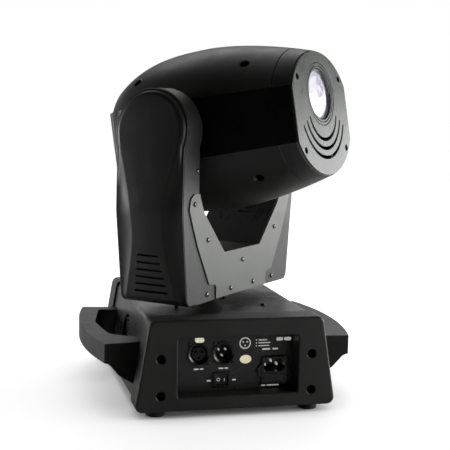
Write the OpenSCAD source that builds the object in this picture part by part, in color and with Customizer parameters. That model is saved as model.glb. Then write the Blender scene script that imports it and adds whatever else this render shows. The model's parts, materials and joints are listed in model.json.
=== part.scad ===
// Moving head spot light: a floor base with end caps and carrying handles, a yoke that pans on
// a hollow column, and a barrel-shaped head that tilts between the yoke's two arms.
// Units are millimetres. +Z is up, the origin is on the pan axis at floor level, and the
// connector end of the base faces -Y. The yoke and head are drawn at their resting angles.

/* [Base] */
// Width over the end caps at their bottom edge
base_bottom_w = 229; // [227:1:232]
// Width over the end caps at their top edge
base_top_w = 196; // [194:1:199]
// Length of the base from end face to end face
base_d = 292; // [288:1:300]
// Height of the end caps
cap_h = 101; // [100:1:103]
// Depth of each moulded end cap
cap_d = 35; // [32:1:38]
// Wall thickness of the end caps
cap_wall = 3; // [2.5:0.5:3]
// Height of the rubber feet
foot_h = 8; // [6:1:10]
// Thickness of the sheet metal top covers
sheet = 1.2; // [1:0.1:1.4]
// Depth of the recess that holds the connectors
recess_d = 24; // [20:1:26]

/* [Handles] */
// Distance of a handle's outer edge from the pan axis, at its ends
handle_x = 142; // [140:1:144]
// How far the handle arches outwards between its ends
handle_arch = 14; // [10:1:16]
// Width of the handle's bar
handle_w = 18; // [16:1:20]
// Height of the handle's top surface above the floor
handle_z = 77; // [75:1:79]

/* [Yoke] */
// Resting pan angle of the yoke, from the head facing the connector end
rest_pan = 47; // [-180:1:180]
// Height of the tilt axis above the floor
tilt_z = 311; // [311:1:314]
// Distance from the pan axis to the inner face of each arm
arm_inner_x = 101; // [101:0.5:102]
// Radius of the round end of each arm
arm_r = 47; // [46:0.5:48]
// Half the depth of the arms below their round ends
arm_half_d = 44; // [44:0.5:45]
// Thickness of the sheet metal plates on the front and back of the yoke
plate_t = 1.5; // [1.2:0.1:1.5]
// How far each arm cover stands out from its arm
cover_bulge = 8; // [6:1:10]

/* [Head] */
// Resting tilt of the head above the horizontal
rest_tilt = 9.6; // [0:0.1:30]
// Distance from the tilt axis to the front face
face_l = 144.5; // [144:0.5:145]
// Distance from the tilt axis to the back end of the rear cap
tail_l = 113; // [112:0.5:114]
// How far the optical axis lies below the tilt axis
head_drop = 2; // [1.5:0.5:2]
// Height of the flat panel on each side of the head, at the tilt axis
side_panel_h = 69; // [67:1:71]
// Wall thickness of the head's moulded covers
shell_wall = 2.5; // [2:0.5:2.5]

/* [Motion] */
// Play between a turning shaft and its bearing, on the radius
running_gap = 0.05; // [0.03:0.01:0.08]
// Pitch radius of the fixed pulley around the pan column
pan_pulley_r = 32; // [30:1:33]
// Pitch radius of the pan motor's pulley
pan_pinion_r = 8; // [8:1:9]
// Pitch radius of the pulley on the head's trunnion
tilt_pulley_r = 30; // [28:1:31]
// Pitch radius of the tilt motor's pulley
tilt_pinion_r = 7.5; // [7:0.5:8]

/* [Hidden] */

$fa = 4;
$fs = 0.8;
gap = 0.2;
cap_z = foot_h;
cap_top_z = foot_h + cap_h;
lean = (base_bottom_w - base_top_w) / 2 / cap_h;
end_y = base_d / 2;
panel_y = recess_d - end_y;
floor_z = cap_z + cap_wall + gap;

// ---------- outlines ----------

function unit(v) = v / norm(v);

// Points of the arc that rounds corner b, between its neighbours a and c
function corner(a, b, c, r, n) =
    let (
        u = unit(a - b),
        v = unit(c - b),
        half = acos(u * v) / 2,
        centre = b + unit(u + v) * r / sin(half),
        from = b + u * r / tan(half) - centre,
        to = b + v * r / tan(half) - centre,
        start = atan2(from.y, from.x),
        turn = (atan2(to.y, to.x) - start + 540) % 360 - 180
    )
    [for (i = [0 : n]) centre + r * [cos(start + turn * i / n), sin(start + turn * i / n)]];

// An outline with each corner rounded by its own radius, or left sharp where that is 0
function rounded(p, r, n = 5) =
    [for (i = [0 : len(p) - 1])
        each (r[i] > 0
            ? corner(p[(i + len(p) - 1) % len(p)], p[i], p[(i + 1) % len(p)], r[i], n)
            : [p[i]])];

// Points of an arc, from one angle to another
function arc(c, r, a0, a1, n) =
    [for (i = [0 : n]) c + r * [cos(a0 + (a1 - a0) * i / n), sin(a0 + (a1 - a0) * i / n)]];

// The same outline on both sides of x = 0, from the points of its right half
function both_sides(p) = concat(p, [for (i = [len(p) - 1 : -1 : 0]) [-p[i].x, p[i].y]]);

// The outline of a belt around two pulleys, the second at [d, 0]
function belt_line(r1, r2, d) =
    let (meet = acos((r1 - r2) / d))
    concat(arc([0, 0], r1, meet, 360 - meet, 48), arc([d, 0], r2, -meet, meet, 24));

// ---------- placing ----------

// A 2D outline in X and Z, extruded along Y
module xz_plate(y0, y1) translate([0, y1, 0]) rotate([90, 0, 0]) linear_extrude(y1 - y0) children();

// A 2D outline in Y and Z, extruded along X
module yz_plate(x0, x1) translate([x0, 0, 0]) rotate([90, 0, 90]) linear_extrude(x1 - x0) children();

module rod_x(y, z, x0, x1, r) translate([x0, y, z]) rotate([0, 90, 0]) cylinder(h = x1 - x0, r = r);

module rod_y(x, z, y0, y1, r) translate([x, y1, z]) rotate([90, 0, 0]) cylinder(h = y1 - y0, r = r);

module rod_z(x, y, z0, z1, r) translate([x, y, z0]) cylinder(h = z1 - z0, r = r);

module block(x0, x1, y0, y1, z0, z1) translate([x0, y0, z0]) cube([x1 - x0, y1 - y0, z1 - z0]);

// The piece and its mirror image across x = 0
module mirrored_x() {
    children();
    mirror([1, 0, 0]) children();
}

module mirrored_y() {
    children();
    mirror([0, 1, 0]) children();
}

// The yoke's own directions: X along the tilt axis, -Y out of its front
module in_yoke() rotate([0, 0, rest_pan]) children();

// The head's own directions: Z forwards along the optical axis, X along the tilt axis, Y up
module in_head()
    in_yoke() translate([0, 0, tilt_z]) rotate([-rest_tilt, 0, 0]) translate([0, 0, -head_drop])
        rotate([90, 0, 0]) children();

// ---------- base: end caps and covers ----------

recess_x0 = -67;
recess_x1 = 70;
recess_z0 = cap_z + 15.5;
recess_z1 = cap_z + 81;
recess_rim = 2.5;
foot_x = 88;
foot_y = 126;
foot_r = 11;
foot_stud_r = 4;
cap_screw_x = 85.4;
cap_screw_zs = [cap_z + 18, cap_z + 58.7];
display_half_w = 44;
display_z0 = cap_z + 56;
display_z1 = cap_z + 76;
button_z = cap_z + 44;
button_xs = [-42, -14, 14, 42];
button_r = 5;

// Half the width of the end caps at height z
function base_half_w(z) = base_bottom_w / 2 - (z - cap_z) * lean;

// The end caps' outline in X and Z, moved inwards by an inset
function base_line(inset, r) =
    let (
        side = inset * norm([1, lean]),
        lo = cap_z + inset,
        hi = cap_top_z - inset
    )
    rounded([
        [side - base_half_w(lo), lo],
        [base_half_w(lo) - side, lo],
        [base_half_w(hi) - side, hi],
        [side - base_half_w(hi), hi]
    ], [r, r, r, r]);

function box_line(x0, x1, z0, z1, r) =
    rounded([[x0, z0], [x1, z0], [x1, z1], [x0, z1]], [r, r, r, r]);

// The plain hollow end cap at -Y, with its screw recesses
module cap_shell() {
    difference() {
        union() {
            difference() {
                xz_plate(-end_y, cap_d - end_y) polygon(base_line(0, 8));
                xz_plate(cap_wall - end_y, cap_d - end_y + 1) polygon(base_line(cap_wall, 5));
            }
            mirrored_x() for (z = cap_screw_zs) rod_y(cap_screw_x, z, 1 - end_y, 14 - end_y, 8);
        }
        mirrored_x() for (z = cap_screw_zs) {
            rod_y(cap_screw_x, z, -end_y - 1, 9 - end_y, 5);
            rod_y(cap_screw_x, z, -end_y, 20 - end_y, 2.3);
        }
        mirrored_x() rod_z(foot_x, -foot_y, 0, floor_z, foot_stud_r + gap);
    }
}

module front_end_cap() color([0.17, 0.17, 0.16])
    difference() {
        union() {
            cap_shell();
            xz_plate(1 - end_y, panel_y)
                polygon(box_line(recess_x0 - recess_rim, recess_x1 + recess_rim,
                    recess_z0 - recess_rim, recess_z1 + recess_rim, 5));
        }
        xz_plate(-end_y - 1, panel_y + 1)
            polygon(box_line(recess_x0, recess_x1, recess_z0, recess_z1, 3));
    }

module rear_end_cap() color([0.17, 0.17, 0.16])
    difference() {
        mirror([0, 1, 0]) cap_shell();
        xz_plate(end_y - 5, end_y + 1)
            polygon(box_line(-display_half_w, display_half_w, display_z0, display_z1, 2));
        for (x = button_xs) rod_y(x, button_z, end_y - 5, end_y + 1, button_r + gap);
    }

// Smoked window of the menu display, held from behind by its flange
module display_window() color([0.05, 0.06, 0.07]) union() {
    xz_plate(end_y - cap_wall, end_y - 1)
        polygon(box_line(gap - display_half_w, display_half_w - gap, display_z0 + gap, display_z1 - gap, 2));
    xz_plate(end_y - cap_wall - 2 - gap, end_y - cap_wall - gap)
        polygon(box_line(-display_half_w - 3, display_half_w + 3, display_z0 - 2, display_z1 + 3, 2));
    block(4 - display_half_w, display_half_w - 4, end_y - cap_wall - 1, end_y - cap_wall + 1,
        display_z0 + 2, display_z1 - 2);
}

// A menu button: a round cap with a collar behind the end cap's wall
module menu_button(place) color([0.12, 0.12, 0.12]) union() {
    x = button_xs[place];
    rod_y(x, button_z, end_y - 9, end_y + 2, button_r);
    rod_y(x, button_z, end_y - 9, end_y - 5.2, button_r + 1.2);
}

module menu_button_back() menu_button(0);
module menu_button_down() menu_button(1);
module menu_button_up() menu_button(2);
module menu_button_enter() menu_button(3);

top_sheet_z = cap_top_z - cap_wall - gap;
neck_hole_r = 20;
cover_screw_x = 52;
cover_screw_y = 58.5;
fan_y = 4;
fan_z = 66;
fan_hole_r = 21;

// One half of the sheet metal cover, on the +X side
module top_cover_half() {
    difference() {
        xz_plate(cap_wall + 18 - end_y, end_y - cap_wall - 18)
            intersection() {
                difference() {
                    polygon(base_line(cap_wall + gap, 5));
                    polygon(base_line(cap_wall + gap + sheet, 5 - sheet));
                }
                translate([gap / 2, cap_z + cap_wall + 2 * gap + 2]) square([base_bottom_w, cap_h]);
            }
        rod_z(0, 0, cap_z, cap_top_z + 1, neck_hole_r);
        mirrored_y() rod_z(cover_screw_x, cover_screw_y, cap_z + 50, cap_top_z + 1, 1.7);
        rod_x(fan_y, fan_z, 80, 130, fan_hole_r);
    }
}

module top_cover_right() color([0.24, 0.24, 0.24]) top_cover_half();
module top_cover_left() color([0.24, 0.24, 0.24]) mirror([1, 0, 0]) top_cover_half();

// ---------- base: plate, feet and screws ----------

bracket_hole_x = 53;
bracket_hole_y = 60;
bracket_hole_r = 8;

module base_plate() color([0.62, 0.63, 0.64])
    difference() {
        block(-106, 106, cap_wall + 1 - end_y, end_y - cap_wall - 1, floor_z, floor_z + 2);
        mirrored_x() mirrored_y() {
            rod_z(bracket_hole_x, bracket_hole_y, 0, 40, bracket_hole_r);
            rod_z(foot_x, foot_y, 0, 40, foot_stud_r + gap);
        }
    }

// Feet with a stud that presses through the end caps and the base plate
module rubber_feet() color([0.08, 0.08, 0.08])
    mirrored_x() mirrored_y() {
        rod_z(foot_x, foot_y, 0, foot_h, foot_r);
        rod_z(foot_x, foot_y, foot_h - 1, floor_z + 3, foot_stud_r);
    }

// A pan head screw at the origin, its head towards -Y
module screw_y(head_r, shank_r, length) {
    difference() {
        union() {
            rod_y(0, 0, -2, 0, head_r);
            rod_y(0, 0, -0.5, length, shank_r);
        }
        block(-head_r * 0.7, head_r * 0.7, -3, -1.2, -0.4, 0.4);
        block(-0.4, 0.4, -3, -1.2, -head_r * 0.7, head_r * 0.7);
    }
}

module base_screws() color([0.25, 0.25, 0.26]) {
    mirrored_x() mirrored_y() for (z = cap_screw_zs)
        translate([cap_screw_x, 9 - end_y - gap / 4, z]) screw_y(3.8, 2, 10);
    mirrored_x() mirrored_y()
        translate([cover_screw_x, cover_screw_y, top_sheet_z + gap / 4]) rotate([-90, 0, 0])
            screw_y(2.8, 1.5, 8);
}

// ---------- base: connectors ----------

xlr_z = cap_z + 57.7;
xlr_out_x = -38.6;
xlr_in_x = -10.3;
xlr_hole_r = 12;
latch_z = xlr_z + 16.5;
inlet_x = 48.2;
inlet_z = cap_z + 36;
inlet_w = 29.5;
inlet_h = 32;
switch_x = -12.2;
switch_z = cap_z + 27.6;
switch_w = 19.7;
switch_h = 17.3;

module connector_panel() color([0.16, 0.16, 0.16])
    difference() {
        xz_plate(panel_y + gap / 2, panel_y + 1.6)
            polygon(box_line(recess_x0 - 5, recess_x1 + 5, recess_z0 - 5, recess_z1 + 5, 3));
        for (x = [xlr_out_x, xlr_in_x]) rod_y(x, xlr_z, panel_y - 1, panel_y + 3, xlr_hole_r);
        block(xlr_out_x - 4.6, xlr_out_x + 4.6, panel_y - 1, panel_y + 3, latch_z - 2.7, latch_z + 2.7);
        block(inlet_x - inlet_w / 2 + 1, inlet_x + inlet_w / 2 - 1, panel_y - 1, panel_y + 3,
            inlet_z - inlet_h / 2 + 1, inlet_z + inlet_h / 2 - 1);
        block(switch_x - switch_w / 2 + 1, switch_x + switch_w / 2 - 1, panel_y - 1, panel_y + 3,
            switch_z - switch_h / 2 + 1, switch_z + switch_h / 2 - 1);
    }

// The round metal shell of an XLR socket, with a thin flange on the panel
module xlr_shell(x) {
    difference() {
        union() {
            rod_y(x, xlr_z, panel_y - 1.6, panel_y, xlr_hole_r + 1.3);
            rod_y(x, xlr_z, panel_y - 1, panel_y + 16, xlr_hole_r - gap);
        }
        rod_y(x, xlr_z, panel_y - 3, panel_y + 13, 9.4);
    }
}

// The three contacts of an XLR, as seen from the front
module xlr_contacts(x, y0, y1, r)
    for (a = [30, 150, 270]) rod_y(x + 4.6 * cos(a), xlr_z + 4.6 * sin(a), y0, y1, r);

module dmx_out_socket() color([0.2, 0.2, 0.2])
    union() {
        xlr_shell(xlr_out_x);
        difference() {
            rod_y(xlr_out_x, xlr_z, panel_y + 0.5, panel_y + 13.5, 8.2);
            xlr_contacts(xlr_out_x, panel_y, panel_y + 9, 1.4);
        }
    }

// The push tab that frees the plug
module dmx_out_latch() color([0.85, 0.8, 0.66])
    union() {
        xz_plate(panel_y - 3.4, panel_y - 1.7)
            polygon(box_line(xlr_out_x - 5.2, xlr_out_x + 5.2, latch_z - 3, latch_z + 3, 2.4));
        block(xlr_out_x - 3.6, xlr_out_x + 3.6, panel_y - 2, panel_y + 9, latch_z - 1.5, latch_z + 1.5);
    }

module dmx_in_socket() color([0.2, 0.2, 0.2])
    union() {
        xlr_shell(xlr_in_x);
        xlr_contacts(xlr_in_x, panel_y + 2, panel_y + 14, 1.2);
    }

ear_half_w = 21.4;

// The fused mains inlet: a body with two pointed screw ears
module power_inlet() color([0.1, 0.1, 0.1])
    difference() {
        union() {
            xz_plate(panel_y - 3, panel_y)
                polygon(box_line(inlet_x - inlet_w / 2, inlet_x + inlet_w / 2,
                    inlet_z - inlet_h / 2, inlet_z + inlet_h / 2, 2));
            xz_plate(panel_y - 2.2, panel_y)
                polygon(rounded([
                    [inlet_x - ear_half_w, inlet_z],
                    [inlet_x - 10, inlet_z - inlet_h / 2 + 1],
                    [inlet_x + 10, inlet_z - inlet_h / 2 + 1],
                    [inlet_x + ear_half_w, inlet_z],
                    [inlet_x + 10, inlet_z + inlet_h / 2 - 1],
                    [inlet_x - 10, inlet_z + inlet_h / 2 - 1]
                ], [3, 1, 1, 3, 1, 1]));
            xz_plate(panel_y - 1, panel_y + 24)
                polygon(box_line(inlet_x - inlet_w / 2 + 1 + gap, inlet_x + inlet_w / 2 - 1 - gap,
                    inlet_z - inlet_h / 2 + 1 + gap, inlet_z + inlet_h / 2 - 1 - gap, 1));
        }
        difference() {
            xz_plate(panel_y - 4, panel_y + 16)
                polygon(rounded([
                    [inlet_x - 12, inlet_z - 1],
                    [inlet_x + 12, inlet_z - 1],
                    [inlet_x + 12, inlet_z + 8],
                    [inlet_x + 7, inlet_z + 14],
                    [inlet_x - 7, inlet_z + 14],
                    [inlet_x - 12, inlet_z + 8]
                ], [1, 1, 1, 1, 1, 1]));
            for (p = [[-7, 4], [0, 8], [7, 4]])
                block(inlet_x + p.x - 1, inlet_x + p.x + 1, panel_y - 1, panel_y + 17,
                    inlet_z + p.y - 2, inlet_z + p.y + 2);
        }
        block(inlet_x - 12.2, inlet_x + 12.2, panel_y - 4, panel_y + 22, inlet_z - 14, inlet_z - 3);
        for (side = [-1, 1]) rod_y(inlet_x + side * 19.5, inlet_z, panel_y - 4, panel_y + 2, 1.6);
    }

// The drawer under the socket, which holds the glass fuse
module fuse_drawer() color([0.13, 0.13, 0.13])
    difference() {
        block(inlet_x - 12, inlet_x + 12, panel_y - 3.4, panel_y + 21, inlet_z - 13.8, inlet_z - 3.2);
        block(inlet_x - 10.5, inlet_x + 10.5, panel_y + 6, panel_y + 12, inlet_z - 11.5, inlet_z - 3);
        block(inlet_x - 4, inlet_x + 4, panel_y - 4, panel_y - 2.6, inlet_z - 12.4, inlet_z - 11);
    }

rocker_tip = 7;
rocker_y = panel_y + 3;
rocker_pin_r = 1.2;
rocker_pin_half = 7;

module switch_housing() color([0.09, 0.09, 0.09])
    difference() {
        union() {
            xz_plate(panel_y - 2, panel_y)
                polygon(box_line(switch_x - switch_w / 2, switch_x + switch_w / 2,
                    switch_z - switch_h / 2, switch_z + switch_h / 2, 1.5));
            xz_plate(panel_y - 1, panel_y + 16)
                polygon(box_line(switch_x - switch_w / 2 + 1 + gap, switch_x + switch_w / 2 - 1 - gap,
                    switch_z - switch_h / 2 + 1 + gap, switch_z + switch_h / 2 - 1 - gap, 1));
        }
        block(switch_x - 7.6, switch_x + 7.6, panel_y - 3, panel_y + 12, switch_z - 6, switch_z + 6);
        rod_z(switch_x, rocker_y, switch_z - rocker_pin_half - gap, switch_z + rocker_pin_half + gap,
            rocker_pin_r + running_gap);
    }

// The rocker, resting in its off position
module switch_rocker() color([0.12, 0.12, 0.12])
    union() {
        translate([switch_x, rocker_y, 0]) rotate([0, 0, -rocker_tip]) translate([0, 0, switch_z - 5.7])
            linear_extrude(11.4)
                polygon([[-6.6, -5], [0, -3.6], [6.6, -5], [6.2, 0], [2, 3.5], [-2, 3.5], [-6.2, 0]]);
        rod_z(switch_x, rocker_y, switch_z - rocker_pin_half, switch_z + rocker_pin_half, rocker_pin_r);
    }

// ---------- base: handles ----------

handle_front_y = -109;
handle_back_y = 105;
bar_z = handle_z - 21;

// Half of the arch's angle, and its radius, from its rise over its length
handle_half_len = (handle_back_y - handle_front_y) / 2;
handle_mid_y = (handle_back_y + handle_front_y) / 2;
arch_r = (handle_half_len * handle_half_len + handle_arch * handle_arch) / (2 * handle_arch);
arch_centre = [handle_x + handle_arch - arch_r, handle_mid_y];

// Plan of the handle: the arched bar with a leg at each end
module handle_plan()
    polygon(concat(
        arc(arch_centre, arch_r, -asin(handle_half_len / arch_r), asin(handle_half_len / arch_r), 24),
        [[90, handle_back_y], [90, handle_back_y - 18]],
        rounded([[100, handle_back_y - 18], [handle_x - handle_w, handle_back_y - 16],
            [handle_x - handle_w + handle_arch, 10], [handle_x - handle_w + 6, -58], [100, -72]],
            [0, 8, 60, 20, 0]),
        [[90, -75], [90, -95]]
    ));

// Section of the handle in X and Z, with the legs running down to the base's side
module handle_section()
    polygon(rounded([[95, handle_z - 1], [handle_x + handle_arch + 2, handle_z + 1],
        [handle_x + handle_arch + 2, bar_z], [handle_x - 4, bar_z], [125, 40], [107, 28], [95, 28]],
        [0, 0, 0, 10, 6, 0, 0]));

module handle() color([0.2, 0.2, 0.2])
    difference() {
        intersection() {
            translate([0, 0, 20]) linear_extrude(handle_z - 20) handle_plan();
            xz_plate(handle_front_y, handle_back_y) handle_section();
        }
        xz_plate(handle_front_y - 1, handle_back_y + 1)
            polygon([[0, 0], [base_half_w(0) - cap_wall + 0.4, 0],
                [base_half_w(cap_top_z) - cap_wall + 0.4, cap_top_z], [0, cap_top_z]]);
        block(80, 200, handle_front_y + 30, handle_back_y - 24, 0, bar_z);
    }

module handle_right() handle();
module handle_left() mirror([1, 0, 0]) handle();

// ---------- base: inside ----------

// Cooling fan frame, with the finger guard's rings moulded into it
module base_fan_frame() color([0.1, 0.1, 0.1])
    difference() {
        union() {
            difference() {
                block(-96.4, -88, fan_y - 22, fan_y + 22, fan_z - 22, fan_z + 22);
                rod_x(fan_y, fan_z, -98, -87, 20);
            }
            for (r = [6, 11, 16]) difference() {
                rod_x(fan_y, fan_z, -98.5, -96.5, r + 1);
                rod_x(fan_y, fan_z, -99, -96, r - 0.6);
            }
            for (a = [45, 135]) translate([-97.5, fan_y, fan_z]) rotate([a, 0, 0])
                cube([2, 41, 2.2], center = true);
        }
        rod_x(fan_y, fan_z, -96.4, -80, 4.2);
    }

// A fan rotor about the X axis: a hub with blades set at an angle
module fan_rotor(hub_r, tip_r, depth, blades) {
    rod_x(0, 0, 0, depth, hub_r);
    for (i = [0 : blades - 1]) rotate([360 / blades * i, 0, 0])
        translate([depth / 2, 0, hub_r - 1]) rotate([0, 0, 32])
            translate([-0.7, -depth / 2 + 0.6, 0]) cube([1.4, depth - 1.2, tip_r - hub_r + 1]);
}

module base_fan_rotor() color([0.14, 0.14, 0.14])
    translate([-95.8, fan_y, fan_z]) fan_rotor(8, 18.6, 7, 7);

module power_supply() color([0.72, 0.73, 0.74])
    difference() {
        block(-38, 38, -52, 78, floor_z + 5, floor_z + 43);
        for (y = [-40 : 8 : 60]) block(-30, 30, y, y + 3, floor_z + 42, floor_z + 50);
        block(-34, 34, 70, 90, floor_z + 20, floor_z + 50);
    }

// Display and control board behind the rear end cap
module control_board() color([0.1, 0.35, 0.2])
    union() {
        block(-60, 60, end_y - 16.6, end_y - 15, cap_z + 22, cap_z + 88);
        block(-38, 38, end_y - 15.5, end_y - cap_wall - 3, cap_z + 56, cap_z + 76);
        for (x = [-30, 0, 30]) block(x - 9, x + 9, end_y - 22, end_y - 16, cap_z + 28, cap_z + 50);
    }

bridge_z = 84;
column_r = 16;
column_bore_r = 11;
column_top_z = 132;

// Steel bridge that carries the pan column
module pan_bridge() color([0.6, 0.61, 0.62])
    difference() {
        union() {
            block(-80, 80, -32, 32, bridge_z, bridge_z + 3);
            mirrored_x() block(77, 80, -32, 32, floor_z + 2 + gap / 4, bridge_z + 1);
            mirrored_x() block(77, 92, -32, 32, floor_z + 2 + gap / 4, floor_z + 4);
        }
        rod_z(0, 0, bridge_z - 1, bridge_z + 4, column_bore_r + 1);
    }

// Fixed hollow column, with the toothed rim that the pan belt runs around
module pan_column() color([0.75, 0.76, 0.78])
    difference() {
        union() {
            rod_z(0, 0, bridge_z + 3, bridge_z + 7, 34);
            rod_z(0, 0, bridge_z + 6, column_top_z, column_r);
            rod_z(0, 0, 124, 131, pan_pulley_r);
        }
        rod_z(0, 0, bridge_z, column_top_z + 1, column_bore_r);
    }

// ---------- yoke ----------

yoke_bottom_z = 118;
yoke_floor_z = 121;
arm_inner_wall = 2.5;
arm_wall = 2.5;
bearing_r = 22;

module yoke_base() in_yoke() color([0.22, 0.22, 0.22])
    difference() {
        union() {
            block(-100, 100, gap - arm_half_d + arm_wall, arm_half_d - arm_wall - gap,
                yoke_bottom_z, yoke_floor_z);
            rod_z(0, 0, 112, yoke_floor_z, 28);
        }
        rod_z(0, 0, 110, yoke_floor_z + 1, bearing_r);
    }

// Pan bearing in the yoke's hub and a tilt bearing in each arm
module bearings() in_yoke() color([0.8, 0.8, 0.82]) {
    difference() {
        rod_z(0, 0, 113, yoke_floor_z, bearing_r - 0.02);
        rod_z(0, 0, 110, yoke_floor_z + 1, column_r + running_gap);
    }
    mirrored_x() difference() {
        rod_x(0, tilt_z, arm_inner_x - 1, arm_inner_x + 5, 18 - 0.02);
        rod_x(0, tilt_z, arm_inner_x - 2, arm_inner_x + 6, 12 + running_gap);
    }
}

arm_bottom_z = 117;

// Side view of an arm, in Y and Z: a round head on a straight leg, moved inwards by an inset
function arm_line(inset) =
    let (
        r = arm_r - inset,
        w = arm_half_d - inset,
        join = asin(w / r)
    )
    concat(
        [for (i = [0 : 5]) [-w + 2 - 2 * cos(18 * i), arm_bottom_z + inset + 2 - 2 * sin(18 * i)]],
        [for (i = [0 : 5]) [w - 2 + 2 * sin(18 * i), arm_bottom_z + inset + 2 - 2 * cos(18 * i)]],
        arc([0, tilt_z], r, join - 90, 270 - join, 30)
    );

// Front view of an arm, in X and Z, from its inner face to its outer edge
function arm_front() =
    rounded([
        [arm_inner_x, arm_bottom_z],
        [118, arm_bottom_z],
        [124, 123],
        [131, 183],
        [135.5, 222],
        [133.5, 285],
        [127, tilt_z + arm_r + 2],
        [arm_inner_x, tilt_z + arm_r + 2]
    ], [0, 4, 8, 60, 60, 60, 0, 0]);

tab_x0 = 63.5;
notch_z = 134;

// One arm: an inner wall with a rim all round, and a flange on its front and back that runs
// behind the yoke plates and ends in a foot tab
module arm_frame() color([0.33, 0.33, 0.33])
    difference() {
        union() {
            intersection() {
                difference() {
                    yz_plate(arm_inner_x, 145) polygon(arm_line(0));
                    yz_plate(arm_inner_x + arm_inner_wall, 146) polygon(arm_line(arm_wall));
                }
                xz_plate(-arm_r - 1, arm_r + 1) polygon(arm_front());
            }
            mirrored_y() xz_plate(-arm_half_d, arm_wall - arm_half_d)
                polygon([[tab_x0, yoke_bottom_z], [104, arm_bottom_z + 0.5], [104, 216], [100, 212],
                    [92, 185], [74, 152], [tab_x0, notch_z + 12]]);
        }
        rod_x(0, tilt_z, arm_inner_x - 1, arm_inner_x + 6, 18);
        mirrored_y() {
            rod_y(81.3, 126.2, -arm_half_d - 1, arm_wall - arm_half_d + 1, 1.7);
            rod_y(113.6, 231.5, -arm_half_d - 1, arm_wall - arm_half_d + 1, 1.7);
            rod_y(106.5, 268, -arm_half_d - 1, arm_wall - arm_half_d + 1, 1.7);
        }
    }

module arm_frame_far() in_yoke() arm_frame();
module arm_frame_near() in_yoke() mirror([1, 0, 0]) arm_frame();

waist_z = 200;
waist_half_d = 25;

// The arm cover's raised face, in Y and Z: a pear that is narrow at the waist
function pear_line(inset) =
    let (
        r = arm_r - 2 - inset,
        top = arc([0, tilt_z], r, -20, 200, 26),
        right = [for (t = [0 : 0.125 : 1])
            let (s = 0.5 - 0.5 * cos(180 * t))
            [r * cos(20) + (waist_half_d - inset - r * cos(20)) * s,
                tilt_z - r * sin(20) + (waist_z - tilt_z + r * sin(20)) * t]],
        flare = [for (t = [0.2 : 0.2 : 1])
            let (s = 0.5 - 0.5 * cos(180 * t))
            [waist_half_d - inset + (arm_half_d - waist_half_d - 4) * s,
                waist_z + (arm_bottom_z + 2 + inset - waist_z) * t]]
    )
    concat(
        top,
        [for (p = right) if (p.y < tilt_z - r * sin(20)) [-p.x, p.y]],
        [for (p = flare) [-p.x, p.y]],
        [for (i = [len(flare) - 1 : -1 : 0]) flare[i]],
        [for (i = [len(right) - 1 : -1 : 1]) right[i]]
    );

vent_zs = [for (i = [0 : 5]) 131.5 + 8.2 * i];

cover_t = 2.5;

// A layer that follows the arm's outer edge, between two distances out from it
module edge_layer(out0, out1) xz_plate(-arm_r - 1, arm_r + 1)
    polygon(concat(arm_edge(out0), [for (i = [len(arm_edge(0)) - 1 : -1 : 0]) arm_edge(out1)[i]]));

// The outer cover: a thin rim on the arm's edge and a hollow pear-shaped bulge with vents
module arm_cover() color([0.2, 0.2, 0.2])
    difference() {
        union() {
            intersection() {
                yz_plate(arm_inner_x + 10, 160) polygon(arm_line(0.6));
                edge_layer(gap, cover_t);
            }
            intersection() {
                yz_plate(arm_inner_x + 10, 160) polygon(pear_line(0));
                edge_layer(1, cover_bulge);
            }
        }
        intersection() {
            yz_plate(arm_inner_x, 160) polygon(pear_line(cover_t));
            edge_layer(-1, cover_bulge - cover_t);
        }
        for (i = [0 : 5]) block(120, 160, -24 + i * 2, 20 - i * 1.2, vent_zs[i], vent_zs[i] + 2);
    }

// The arm's outer edge line in X and Z, moved out by a distance
function arm_edge(out) =
    let (all = arm_front())
    [for (p = all) if (p.x > arm_inner_x + 1) [p.x + out, p.y]];

module arm_cover_far() in_yoke() arm_cover();
module arm_cover_near() in_yoke() mirror([1, 0, 0]) arm_cover();

// Right half of the yoke plate's outline, in X and Z, from its bottom edge round to the opening
function plate_half() = rounded([
    [62.5, yoke_bottom_z + 0.5],
    [62.5, notch_z + 0.5],
    [78.5, notch_z + 3],
    [106, 184],
    [125, 226],
    [121, 238],
    [114, 243],
    [103, 242],
    [92, 220],
    [44, 171]
], [0, 4, 3, 60, 12, 6, 6, 0, 20, 0]);

module yoke_plate() color([0.45, 0.46, 0.45])
    difference() {
        xz_plate(-arm_half_d - gap / 2 - plate_t, -arm_half_d - gap / 2) polygon(both_sides(plate_half()));
        mirrored_x() {
            rod_y(28.2, 126.5, -60, 0, 1.7);
            rod_y(83.5, 189, -60, 0, 1.7);
            rod_y(113.6, 231.5, -60, 0, 1.7);
        }
        rod_y(0, 157, -60, 0, 1.7);
    }

module yoke_plate_front() in_yoke() yoke_plate();
module yoke_plate_rear() in_yoke() mirror([0, 1, 0]) yoke_plate();

// Screws through the yoke plates, the arms' foot tabs and the arms' front walls
module yoke_screws() in_yoke() color([0.7, 0.7, 0.7]) mirrored_y() {
    outer_y = -arm_half_d - gap / 2 - plate_t - gap / 4;
    mirrored_x() for (p = [[28.2, 126.5], [83.5, 189], [113.6, 231.5]])
        translate([p.x, outer_y, p.y]) screw_y(2.8, 1.5, 5);
    mirrored_x() for (p = [[81.3, 126.2], [106.5, 268]])
        translate([p.x, -arm_half_d - gap / 4, p.y]) screw_y(2.8, 1.5, 5);
    translate([0, outer_y, 157]) screw_y(2.8, 1.5, 5);
}

// Bent sheet that closes the yoke between its two plates, under the head
module yoke_liner() in_yoke() color([0.3, 0.3, 0.3])
    difference() {
        xz_plate(gap - arm_half_d, arm_half_d - gap)
            polygon(both_sides([[43.5, 168.5], [91.5, 218], [98, 232], [100.6, 241], [100.6, 242], [99, 242],
                [96.5, 233], [90, 219.8], [42.8, 170.3]]));
        mirrored_x() for (h = [205, 210]) block(70, 95, -14, 4, h, h + 1.6);
    }

// ---------- yoke: drives ----------

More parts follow.
